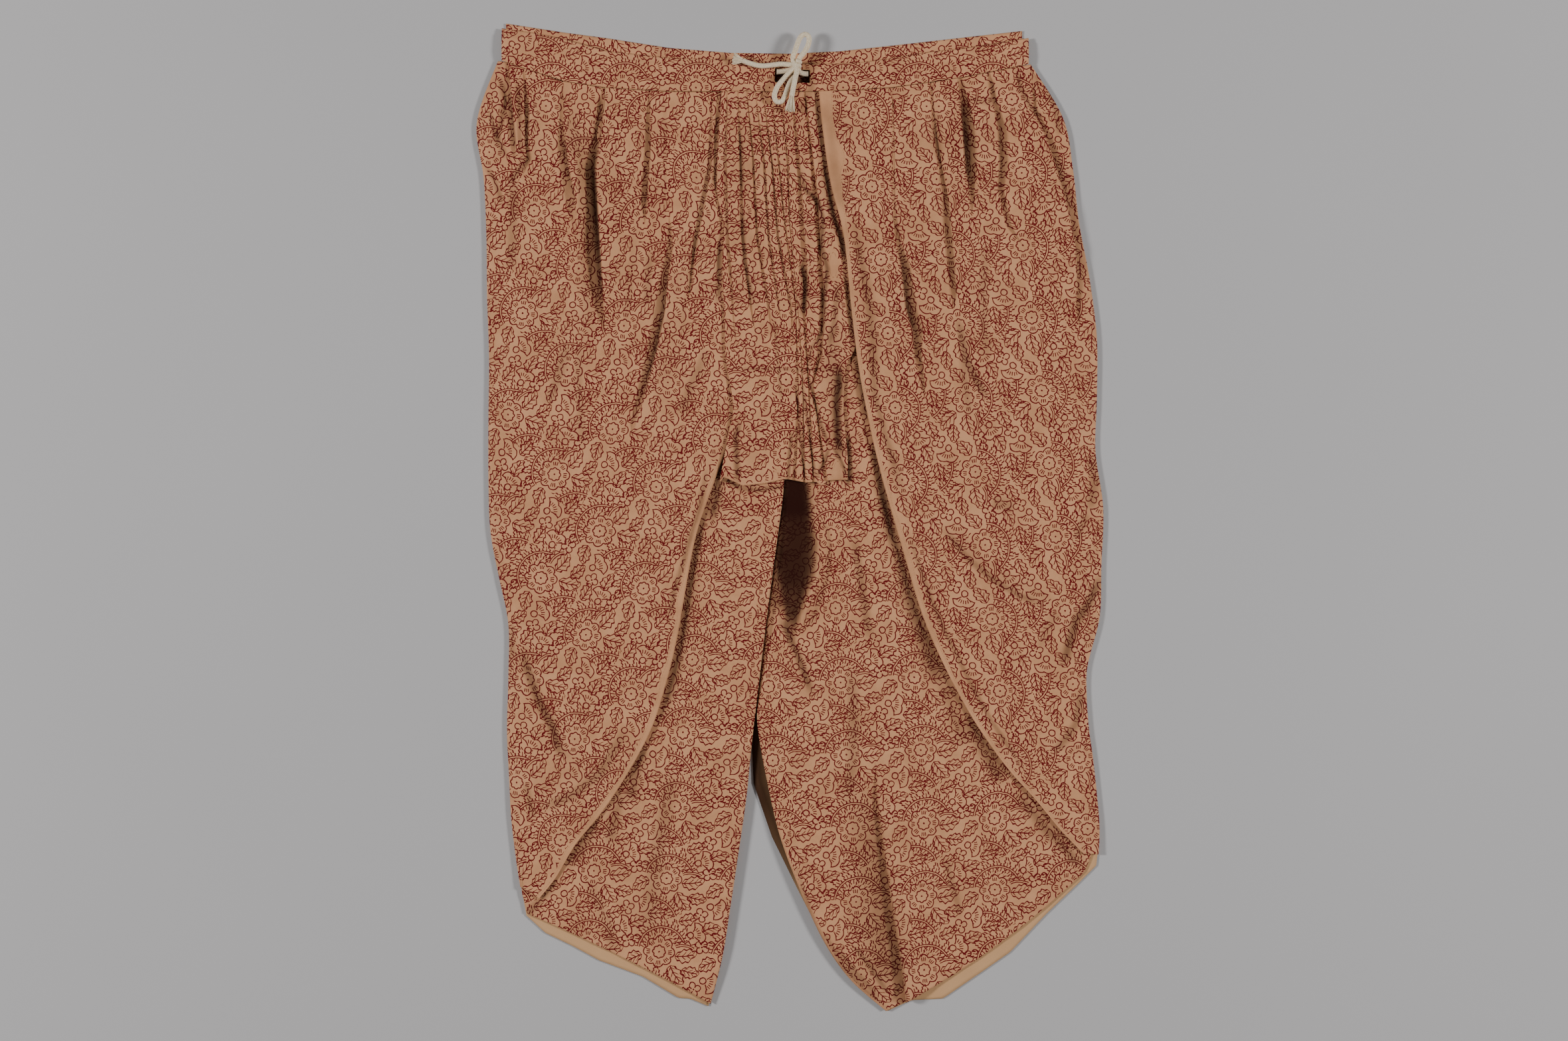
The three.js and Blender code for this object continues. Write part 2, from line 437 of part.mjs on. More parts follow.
/** Seam line of the back band between two places, as the top edge of a back panel. */
function backTop(from, to) {
  const inside = BAND_BACK_ROWS.filter(([x]) => x > from + 1 && x < to - 1);
  const yAt = (x) => {
    const i = Math.max(1, BAND_BACK_ROWS.findIndex((row) => row[0] >= x));
    const [a, b] = [BAND_BACK_ROWS[i - 1], BAND_BACK_ROWS[i]];
    return lerp(a[1], b[1], (x - a[0]) / (b[0] - a[0]));
  };
  return [[from, yAt(from)], ...inside.map(([x, y]) => [x, y]), [to, yAt(to)]].map(([x, y]) => [x, y - SEAM_GAP]);
}

function backLeft() {
  const side = DRAPE_LEFT.rows.slice(1).map(([x, y]) => [x + BACK_INSET, y]);
  const inner = LEG_LEFT.rows.slice(4, -1).map((row) => [row[4] - BACK_INSET, row[5]]).reverse();
  const top = backTop(BACK_TOP.left, CENTRE_SEAM - SEAM_GAP).reverse();
  return backPanel('back_left', [...side, ...BACK_LEFT_HEM, ...inner, ...top]);
}

function backRight() {
  const side = DRAPE_RIGHT.rows.slice(1).map((row) => [row[4] - BACK_INSET, row[5]]);
  const inner = LEG_RIGHT.rows.slice(4, -1).map((row) => [row[0] + BACK_INSET, row[1]]).reverse();
  const top = backTop(CENTRE_SEAM + SEAM_GAP, BACK_TOP.right);
  return backPanel('back_right', [...top, ...side, ...BACK_RIGHT_HEM, ...inner]);
}

function backBand() {
  const outline = [
    ...BAND_BACK_ROWS.map(([x, seam]) => [x, seam]),
    ...BAND_BACK_ROWS.map(([x, , edge]) => [x, edge]).reverse(),
  ];
  const shape = new THREE.Shape(outline.map(([x, y]) => new THREE.Vector2(x, y)));
  return named('waistband_back', new THREE.ExtrudeGeometry(shape, { depth: BACK_CLOTH, bevelEnabled: false }),
    PRINTED_COTTON);
}

/** The front band bulges over the panels sewn into it and has a slit for the drawstring. */
function frontBand() {
  const half = (BAND_FRONT_ROWS[BAND_FRONT_ROWS.length - 1][0] - BAND_FRONT_ROWS[0][0]) / 2;
  const middle = BAND_FRONT_ROWS[0][0] + half;
  const grid = BAND_FRONT_LINES.map((line, r) => BAND_FRONT_ROWS.map(([x, seam, edge]) => {
    const drop = BAND_SIDE_DROP[r] * smooth((Math.abs(x - middle) / half - 0.55) / 0.45);
    return [x, lerp(seam, edge, line), BAND_FRONT_HEIGHTS[r] - drop];
  })).reverse();
  const slitRow = BAND_FRONT_LINES.length - 1 - SLIT.lineAbove;
  const slitColumn = BAND_FRONT_ROWS.findIndex(([x]) => x === SLIT.left);
  const isOpen = (r, c) => r === slitRow && c === slitColumn;
  return named('waistband_front', wallFromGrid(grid, BAND_CLOTH, isOpen), PRINTED_COTTON);
}

function cordTube(name, points) {
  const curve = new THREE.CatmullRomCurve3(points.map((p) => new THREE.Vector3(...p)), false, 'centripetal');
  const radius = CORD_DIAMETER / 2;
  const section = new THREE.Shape(Array.from({ length: CORD_SIDES }, (_, k) => {
    const angle = (2 * Math.PI * k) / CORD_SIDES;
    return new THREE.Vector2(radius * Math.cos(angle), radius * Math.sin(angle));
  }));
  const steps = Math.max(2, Math.round(curve.getLength() / CORD_STEP));
  return named(name, new THREE.ExtrudeGeometry(section, { steps, extrudePath: curve, bevelEnabled: false }),
    CORD_COTTON);
}

function knot() {
  const geometry = new THREE.SphereGeometry(0.5, 12, 8);
  geometry.scale(KNOT.wide, KNOT.long, KNOT.high);
  geometry.translate(KNOT.x, KNOT.y, KNOT.z);
  return named('drawstring_knot', geometry, CORD_COTTON);
}

/** A frayed end of the cord: a plug that widens and flattens towards its tip. */
function tuft(name, { from, to, wide, thick }) {
  const start = new THREE.Vector3(...from);
  const along = new THREE.Vector3(...to).sub(start);
  const length = along.length();
  const neck = CORD_DIAMETER / 2;
  const profile = [[0, 0], [neck, 0], [neck * TUFT_SWELL, length * 0.4], [wide / 2, length], [0, length]];
  const geometry = new THREE.LatheGeometry(profile.map(([r, y]) => new THREE.Vector2(r, y)), TUFT_SIDES);
  geometry.applyQuaternion(new THREE.Quaternion().setFromUnitVectors(THREE.Object3D.DEFAULT_UP, along.normalize()));
  const position = geometry.getAttribute('position');
  for (let i = 0; i < position.count; i += 1) {
    const place = clamp01(Math.hypot(position.getX(i), position.getY(i)) / length);
    position.setZ(i, position.getZ(i) * lerp(1, thick / wide, place));
  }
  geometry.translate(...from);
  return named(name, geometry, CORD_COTTON);
}

// ---- the garment ----------------------------------------------------------------------------------------
const garment = new THREE.Group();
garment.name = 'dhoti_salwar';
garment.add(backLeft(), backRight(), backBand());
garment.add(pleatedPanel('leg_left', LEG_LEFT, [], LEG_LEFT_CREASES));
garment.add(pleatedPanel('leg_right', LEG_RIGHT, [], LEG_RIGHT_CREASES));
garment.add(pleatedPanel('drape_left', DRAPE_LEFT, DRAPE_LEFT_PLEATS, DRAPE_LEFT_CREASES));
garment.add(pleatedPanel('drape_right', DRAPE_RIGHT, DRAPE_RIGHT_PLEATS, DRAPE_RIGHT_CREASES));
garment.add(pleatedPanel('centre_pleats', CENTRE, CENTRE_PLEATS, []));
garment.add(frontBand());
garment.add(knot());
for (const [name, points] of Object.entries(CORD_RUNS)) garment.add(cordTube(name, points));
for (const [name, sizes] of Object.entries(TUFTS)) garment.add(tuft(name, sizes));

export default garment;
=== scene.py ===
"""Dhoti salwar laid flat on a pale sheet: its cloth, block print, drawstring, floor and light.

Every piece of cloth is a thin shell on the form of its solid. Its folds run along guide lines, so that a
fold edge stays crisp however it slants. Sizes are in millimetres until a mesh is made. Deep folds, troughs,
the hollow at the crotch, the slit and the gap between the legs are darkened with painted shade in the
cloth's colour.
"""
from __future__ import annotations

import logging
import math
from dataclasses import dataclass
from enum import Enum

import bpy
import numpy as np
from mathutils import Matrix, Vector

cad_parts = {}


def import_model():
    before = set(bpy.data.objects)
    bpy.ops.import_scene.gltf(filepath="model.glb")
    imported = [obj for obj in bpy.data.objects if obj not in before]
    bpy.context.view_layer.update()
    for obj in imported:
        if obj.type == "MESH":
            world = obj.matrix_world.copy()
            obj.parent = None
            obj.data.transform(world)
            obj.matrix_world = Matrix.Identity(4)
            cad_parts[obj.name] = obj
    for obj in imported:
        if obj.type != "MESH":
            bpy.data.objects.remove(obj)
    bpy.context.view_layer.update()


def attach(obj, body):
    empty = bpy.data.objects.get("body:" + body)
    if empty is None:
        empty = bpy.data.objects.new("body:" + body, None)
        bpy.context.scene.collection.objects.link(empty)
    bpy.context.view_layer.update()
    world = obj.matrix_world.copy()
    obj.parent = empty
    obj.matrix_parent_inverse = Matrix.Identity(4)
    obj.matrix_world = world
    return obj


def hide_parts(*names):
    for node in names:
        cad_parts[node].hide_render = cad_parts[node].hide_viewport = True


LOG = logging.getLogger("dhoti_salwar")
MM = 0.001
IMAGE_SIZE = (2361, 1568)
CLOTH_SHELL = 0.6  # thickness of a shell of cloth, mm
SIDE_INSET = 11.0  # the under-legs end this far inside the drapes at the side seams
SEAM_GAP = 0.35  # pieces that are sewn together end this far apart
FOLD_PARTS = 5  # columns over the steep side of a fold
UNDER_STEP = 4  # rows of the upper face to one of the under face
PRINTED = -50.0  # a place this far outside every plain margin, mm
SHIFT_REACH = 20.0  # the print's shift fades to this far past a fold's ends, mm
SHIFT_FADE = 0.9  # share of a fold's length over which that shift fades
CREASE_ENDS = 0.2  # share of a crease's length over which each of its ends fades
LAID_FOOT = 0.9  # how far the foot of a flat fold lies out from its edge, mm
FULL_TUCK = 2.5  # height at which a fold is tucked in fully, mm
NOSE = 0.24  # how far a fold's edge bulges, as a share of its height
TOP_FADE, HEM_FADE = 26.0, 34.0  # how far in from the seam and the hem their lines shape the rows, mm
SWELLS = ((46, 1.0, 0), (21, 0.6, 7))  # size, share and seed offset of each layer of the swell
CRUMPLES = ((12, 1.0, 11), (7, 0.7, 13))  # the same for the crumple
DIP_HEIGHT = 4.0  # a fold this high has all of its dip in front of it, mm
DIP_SHADE = 0.6  # how far the painted shade at its foot reaches, as a share of how far the dip does
QUIET_FADE, RIM_FADE = 60, 6  # how fast the relief fades above the quiet line and at the edges, mm
UNEVEN, UNEVEN_SIZE = 0.35, 19  # share by which a plain margin's width varies, and over what distance, mm
ROLL_RIM = 5  # how far the middle of a rolled place counts as inside it, mm
DRIFT, DRIFT_SIZE = 1.6, 60  # how far the print strays from its grain, and over what distance, mm

Array = np.ndarray
Run = tuple[tuple[float, ...], ...]
Colour = tuple[float, float, float, float]
Material = bpy.types.Material
Piece = bpy.types.Object
Socket = bpy.types.NodeSocket
Value = Socket | float


class Side(Enum):
    """The side that the edge of a fold faces."""

    LEFT = -1
    RIGHT = 1


# ---- number helpers -----------------------------------------------------------------------------------
def smooth(t: Array | float) -> Array:
    """Rise smoothly from 0 to 1 as t goes from 0 to 1."""
    t = np.clip(t, 0.0, 1.0)
    return t * t * (3 - 2 * t)


def catmull(rows: Array, places: Array) -> Array:
    """Smooth curve through the rows of a table.

    Args:
        rows: The table, one section a row.
        places: Where to read it, in rows from the first.

    Returns:
        One row of values for each place.
    """
    last = len(rows) - 1
    i = np.clip(np.floor(places).astype(int), 0, last - 1)
    f = (places - i)[:, None]
    a, b = rows[np.clip(i - 1, 0, last)], rows[i]
    c, d = rows[i + 1], rows[np.clip(i + 2, 0, last)]
    return b + 0.5 * f * (c - a + f * (2 * a - 5 * b + 4 * c - d + f * (3 * (b - c) + d - a)))


def run_column(run: Run, column: int, y: Array) -> Array:
    """Value of a run's column at heights y; the run goes downwards and its ends carry on level."""
    points = np.array(run)[::-1]
    return np.interp(y, points[:, 1], points[:, column])


def read(table: Run, place: Array) -> Array:
    """Read a table of pairs at places, with its ends carried on level; its first column rises."""
    return np.interp(place, *zip(*table))


def run_distance(x: Array, y: Array, run: Run) -> tuple[Array, Array]:
    """Distance from points to a run, and how far along the run each is.

    Args:
        x: Places across the garment.
        y: Places up the garment.
        run: The run's points, x and y first.

    Returns:
        The distance, positive on the right of the run's way, and the share of the run's length, 0 to 1.
    """
    best, side, share = np.full(x.shape, np.inf), np.ones(x.shape), np.zeros(x.shape)
    points = np.array(run)[:, :2]
    steps = np.linalg.norm(np.diff(points, axis=0), axis=1)
    before = np.concatenate([[0], np.cumsum(steps)])
    for k, length in enumerate(steps):
        (ax, ay), (dx, dy) = points[k], (points[k + 1] - points[k]) / length
        along = np.clip((x - ax) * dx + (y - ay) * dy, 0, length)
        off_x, off_y = x - ax - along * dx, y - ay - along * dy
        far = np.hypot(off_x, off_y)
        nearer = far < best
        best = np.where(nearer, far, best)
        side = np.where(nearer, np.sign(off_x * dy - off_y * dx), side)
        share = np.where(nearer, (before[k] + along) / before[-1], share)
    return best * np.where(side == 0, 1, side), share


def soft_noise(x: Array, y: Array, size: float, seed: int) -> Array:
    """Smooth random swell, about -1 to 1.

    Args:
        x: Places across the garment.
        y: Places up the garment.
        size: Distance between its peaks.
        seed: Seed of the random heights.

    Returns:
        The swell at each place.
    """
    heights = np.random.default_rng(seed).uniform(-1, 1, (64, 64))
    u, v = x / size + 31.7, y / size + 17.3
    i, j = np.floor(u).astype(int), np.floor(v).astype(int)
    fu, fv = smooth(u - i), smooth(v - j)
    i0, i1, j0, j1 = i % 64, (i + 1) % 64, j % 64, (j + 1) % 64
    low = heights[i0, j0] * (1 - fu) + heights[i1, j0] * fu
    high = heights[i0, j1] * (1 - fu) + heights[i1, j1] * fu
    return low * (1 - fv) + high * fv


# ---- the cloth's parts --------------------------------------------------------------------------------
@dataclass(frozen=True)
class EdgeLevel:
    """How far in from the end of a section its own level holds, and over what run it fades."""

    hold: float
    fade: float


@dataclass(frozen=True)
class Pleat:
    """A fold whose edge faces one side.

    run goes downwards, as x, y and height. spread is how far behind the edge it falls away, tuck how far
    the cloth goes in under the edge, dip how deep the cloth sinks in front of it over dip_run, shift how
    far the print is out of step across it, and dark the share of painted shade laid on its foot and on its
    steep side.
    """

    side: Side
    run: Run
    spread: float = 26.0
    tuck: float = 1.6
    dip: float = 0.8
    dip_run: float = 9.0
    shift: float = 12.0
    dark: float = 0.3

    def peak(self) -> float:
        """Its greatest height."""
        return max(point[2] for point in self.run)

    def out_of_step(self, y: Array) -> Array:
        """How far the print is out of step across it at heights y; that fades slowly where the fold opens."""
        raised = [point[1] for point in self.run if point[2] > 0]
        high, low = max(raised), min(raised)
        fade = SHIFT_FADE * (high - low)
        opens = smooth((y - low + SHIFT_REACH) / fade) if self.run[-1][2] == 0 else 1.0
        grows = smooth((high + SHIFT_REACH - y) / fade) if self.run[0][2] == 0 else 1.0
        return self.shift * opens * grows + 0 * y

    def fall(self, distance: Array, room: Array) -> Array:
        """How much of the fold's height is left at a distance behind its edge, with room up to the next."""
        return np.exp(-((distance / self.spread) ** 1.5)) * (1 - smooth((distance / room - 0.7) / 0.3))


@dataclass(frozen=True)
class Crease:
    """A soft ridge, or a trough where its height is less than 0, steeper on its right where lean is over 0.

    run holds x and y, and the width where that changes. dark is the share of painted shade that a
    trough lays on the colour, and power how flat its bottom is.
    """

    height: float
    width: float
    run: Run
    lean: float = 0.0
    dark: float = 0.0
    power: float = 2.0

    def effect(self, x: Array, y: Array) -> tuple[Array, Array]:
        """Work out the height that it adds at each place, and the share of painted shade that it lays on."""
        far, along = run_distance(x, y, self.run)
        points, width = np.array(self.run), self.width
        if points.shape[1] > 2:
            steps = np.concatenate([[0], np.cumsum(np.hypot(*np.diff(points[:, :2], axis=0).T))])
            width = np.interp(along, steps / steps[-1], points[:, 2])
        narrow = width * np.where(far * np.sign(self.lean) > 0, 1 - abs(self.lean), 1.0)
        ends = smooth(along / CREASE_ENDS) * smooth((1 - along) / CREASE_ENDS)
        share = ends * np.exp(-((np.abs(far) / narrow) ** self.power))
        return self.height * share, self.dark * share


def trough(dark: float, width: float, *run: tuple[float, ...]) -> Crease:
    """Make the usual narrow trough of a fold, with painted shade; the more painted shade, the deeper it is.
    """
    return Crease(-0.5 - 1.2 * dark, width, run, dark=dark, power=2.6)


@dataclass(frozen=True)
class Cut:
    """The size that a piece was cut to, in metres and square metres, as far as it shows."""

    width: float
    length: float
    area: float


@dataclass(frozen=True)
class Grain:
    """How the print lies on a piece: its turn in degrees, and where its repeat starts."""

    turn: float
    x: float = 0.0
    y: float = 0.0


@dataclass
class Panel:
    """A piece of cloth between section lines, with its folds, creases and print.

    rows holds one section a row: left x, y, z, middle z, right x, y, z, and how far the middle hangs low.
    plain_left and plain_right give the width of a plain margin by y, and hem the y of the hem by x.
    plain_hem is the height of the plain strip at the hem, and rolled holds x, y, half width and half height
    of each place where the cloth rolls over and shows its plain side.
    """

    name: str
    node: str
    rows: Array
    left_edge: EdgeLevel
    right_edge: EdgeLevel
    grain: Grain
    pleats: tuple[Pleat, ...] = ()
    creases: tuple[Crease, ...] = ()
    column: float = 2.3
    row: float = 3.0
    swell: float = 0.5
    crumple: float = 0.16
    plain_left: Run = ()
    plain_right: Run = ()
    hem: Run = ()
    plain_hem: float = PRINTED
    rolled: Run = ()
    quiet_above: float = 1000.0
    seed: int = 1
    lowest: float = 0.0
    cut: Cut = Cut(0.3, 0.9, 0.27)
    rests_on: tuple[str, ...] = ()

    def sections(self) -> Array:
        """Work out the section lines of the mesh's rows, from the top to the hem."""
        ends = self.rows[:, [0, 1, 4, 5]]
        steps = np.abs(np.diff(ends, axis=0))
        runs = np.maximum(np.hypot(steps[:, 0], steps[:, 1]), np.hypot(steps[:, 2], steps[:, 3]))
        places = [0.0]
        for k, run in enumerate(runs):
            parts = max(1, round(run / self.row))
            places += [k + (j + 1) / parts for j in range(parts)]
        return catmull(self.rows, np.array(places))

    def fold_lines(self, sections: Array) -> tuple[Array, Array]:
        """Find where each pleat crosses each section.

        Args:
            sections: The section lines.

        Returns:
            The share of the section's width for each row and pleat, and the fold's height there.
        """
        xl, yl, xr, yr, bow = (sections[:, k] for k in (0, 1, 4, 5, 7))
        shares, heights = [], []
        for pleat in self.pleats:
            end = pleat.run[-1][1]
            u = np.full(len(sections), 0.5)
            for _ in range(5):
                y = yl + (yr - yl) * u - bow * 4 * u * (1 - u)
                u = (run_column(pleat.run, 0, np.maximum(y, end)) - xl) / (xr - xl)
            y = yl + (yr - yl) * u - bow * 4 * u * (1 - u)
            below = np.nonzero(y < end)[0]
            if len(below) and below[0] > 0:
                u[below] = u[below[0] - 1]
            shares.append(u)
            heights.append(run_column(pleat.run, 2, y) * (y >= end))
        if not shares:
            return np.zeros((len(sections), 0)), np.zeros((len(sections), 0))
        return np.array(shares).T, np.array(heights).T

    def bounds(self, folds: Array, heights: Array, width: Array) -> Array:
        """Shares where one stretch of the cloth ends and the next begins, by row: each pleat has two."""
        lines = [np.zeros(len(folds))]
        for k, pleat in enumerate(self.pleats):
            tuck = (pleat.tuck + LAID_FOOT) * smooth(heights[:, k] / FULL_TUCK) - LAID_FOOT
            foot = folds[:, k] - pleat.side.value * tuck / width
            lines += [foot, folds[:, k]] if pleat.side is Side.LEFT else [folds[:, k], foot]
        return np.array([*lines, np.ones(len(folds))]).T

    def surface(self) -> dict[str, Array]:
        """Work out the upper face of the cloth.

        Returns:
            Arrays by row and column: the points, the place on the print, and the distance into the plain
            margins, all in mm, and the share of painted shade.
        """
        sections = self.sections()
        xl, yl, zl, zm, xr, yr, zr, bow = sections.T[:, :, None]
        width = np.hypot(xr - xl, yr - yl)
        folds, heights = self.fold_lines(sections)
        bounds = self.bounds(folds, heights, width[:, 0])
        shares, lifts, slips, shades = [], [], [], []
        jump = np.zeros((len(sections), 1))
        last = bounds.shape[1] - 2
        for i in range(last + 1):
            a, b = bounds[:, i : i + 1], bounds[:, i + 1 : i + 2]
            if i % 2:
                pleat, height = self.pleats[i // 2], heights[:, i // 2 : i // 2 + 1]
                t = np.arange(FOLD_PARTS)[None, :] / FOLD_PARTS
                nose = pleat.side.value * NOSE * height * np.sin(math.pi * t) / width
                shares.append(a + (b - a) * t + nose)
                lifts.append(height * (smooth(t) if pleat.side is Side.LEFT else smooth(1 - t)))
                hidden = 1 - t if pleat.side is Side.LEFT else t
                # Painted shade on the steep side of the fold, darkest at its foot under the edge.
                shades.append(pleat.dark * (height / pleat.peak()) ** 2 * hidden)
                out = pleat.out_of_step(yl + (yr - yl) * a)
                slips.append(jump + out * smooth(t))
                jump = jump + out
                continue
            parts = max(2, round(float(((b - a) * width).max()) / self.column))
            t = np.arange(parts + (i == last))[None, :] / parts
            u, room, lift = a + (b - a) * t, np.maximum((b - a) * width, 0.1), 0 * a * t
            if i > 0 and self.pleats[i // 2 - 1].side is Side.LEFT:
                k = i // 2 - 1
                lift = lift + heights[:, k : k + 1] * self.pleats[k].fall(t * room, room)
            if i < last and self.pleats[i // 2].side is Side.RIGHT:
                k = i // 2
                lift = lift + heights[:, k : k + 1] * self.pleats[k].fall((1 - t) * room, room)
            shares.append(u)
            lifts.append(lift)
            slips.append(jump + 0 * u)
            shades.append(0 * u)
        u, lift, slip, shade = (np.hstack(part) for part in (shares, lifts, slips, shades))
        x = xl + (xr - xl) * u
        y = yl + (yr - yl) * u - bow * 4 * u * (1 - u)
        y = y + (FrontBand.seam(x[:1]) - SEAM_GAP - y[:1]) * np.clip(1 - (y[:1] - y) / TOP_FADE, 0, 1)
        if self.hem:
            y = y + (read(self.hem, x[-1:]) - y[-1:]) * np.clip(1 - (y - y[-1:]) / HEM_FADE, 0, 1)
        near = [1 - smooth((far - edge.hold) / edge.fade)
                for far, edge in ((u * width, self.left_edge), ((1 - u) * width, self.right_edge))]
        level = zm + near[0] * (zl - zm) + near[1] * (zr - zm)
        relief, dark = self.relief(x, y, folds, heights, width, u)
        z = np.maximum(level + lift + relief, self.lowest)
        # The shade is painted shade, from the steep sides and feet of folds and from the troughs.
        return {"points": np.stack([x, y, z], axis=-1), "print": self.on_print(x, y, slip),
                "margin": self.margin(u, width, x, y), "shade": 1 - (1 - shade) * (1 - dark)}

    def relief(self, x: Array, y: Array, folds: Array, heights: Array,
               width: Array, u: Array) -> tuple[Array, Array]:
        """Height of the creases, the dips before folds and the cloth's unevenness, and the share of painted
        shade.
        """
        z = 0 * x
        for depth, layers in ((self.swell, SWELLS), (self.crumple, CRUMPLES)):
            z = z + depth * sum(share * soft_noise(x, y, size, self.seed + more)
                                for size, share, more in layers)
        # Share of the colour kept by the painted shade of the creases and of the feet of the folds.
        light = np.ones(x.shape)
        for crease in self.creases:
            rise, dark = crease.effect(x, y)
            z, light = z + rise, light * (1 - dark)
        for k, pleat in enumerate(self.pleats):
            ahead = (folds[:, k : k + 1] - u) * width * pleat.side.value * -1
            height = np.where(ahead >= 0, heights[:, k : k + 1], 0)
            z = z - pleat.dip * smooth(height / DIP_HEIGHT) * np.exp(-((ahead / pleat.dip_run) ** 2))
            near = np.exp(-((np.maximum(ahead, 0) / (DIP_SHADE * pleat.dip_run)) ** 3))
            light = light * (1 - pleat.dark * (height / pleat.peak()) ** 2 * near)
        z = z * (1 - smooth((y - self.quiet_above) / QUIET_FADE))
        return z * smooth(np.minimum(u, 1 - u) * width / RIM_FADE), 1 - light

    def on_print(self, x: Array, y: Array, slip: Array) -> Array:
        """Place of each point on the print, whose grain follows the piece."""
        turn = math.radians(self.grain.turn)
        x = x + slip + DRIFT * soft_noise(x, y, DRIFT_SIZE, self.seed + 21)
        y = y + DRIFT * soft_noise(x, y, DRIFT_SIZE, self.seed + 23)
        across = x * math.cos(turn) + y * math.sin(turn) + self.grain.x
        return np.stack([across, y * math.cos(turn) - x * math.sin(turn) + self.grain.y], axis=-1)

    def margin(self, u: Array, width: Array, x: Array, y: Array) -> Array:
        """How far a point is inside a plain margin, in mm; it is printed where this is under 0."""
        inside = self.plain_hem - (y - y[-1:])
        for at_x, at_y, wide, high in self.rolled:
            inside = np.maximum(inside, ROLL_RIM * (1 - np.hypot((x - at_x) / wide, (y - at_y) / high)))
        uneven = 1 + UNEVEN * soft_noise(0 * y, y, UNEVEN_SIZE, self.seed)
        for run, far in ((self.plain_left, u * width), (self.plain_right, (1 - u) * width)):
            if run:
                inside = np.maximum(inside, read(run[::-1], y) * uneven - far)
        return inside

    def build(self, finish: Material, wrong_side: Material) -> Piece:
        """Make the piece's mesh and dress it.

        Args:
            finish: Material of the right side.
            wrong_side: Material of the under side.

        Returns:
            The finished piece.
        """
        made = self.surface()
        piece = shell(self.name, made["points"], CLOTH_SHELL, made["print"], made["margin"],
                      shade=made["shade"])
        return dressed(piece, self.node, finish, wrong_side)


def dressed(piece: Piece, node: str, upper: Material,
            under: Material) -> Piece:
    """Give a piece of cloth its finishes and its body, hide the solid that it stands for, and log its size.

    Args:
        piece: The piece.
        node: The solid that it stands for.
        upper: Material of the side that faces up.
        under: Material of the other side.

    Returns:
        The same piece.
    """
    piece.data.materials.append(upper)
    piece.data.materials.append(under)
    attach(piece, "root")
    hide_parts(node)
    area = sum(face.area for face in piece.data.polygons if face.material_index == 0)
    LOG.info("%s: %d faces, %.4f square metres a layer", piece.name, len(piece.data.polygons), area)
    return piece


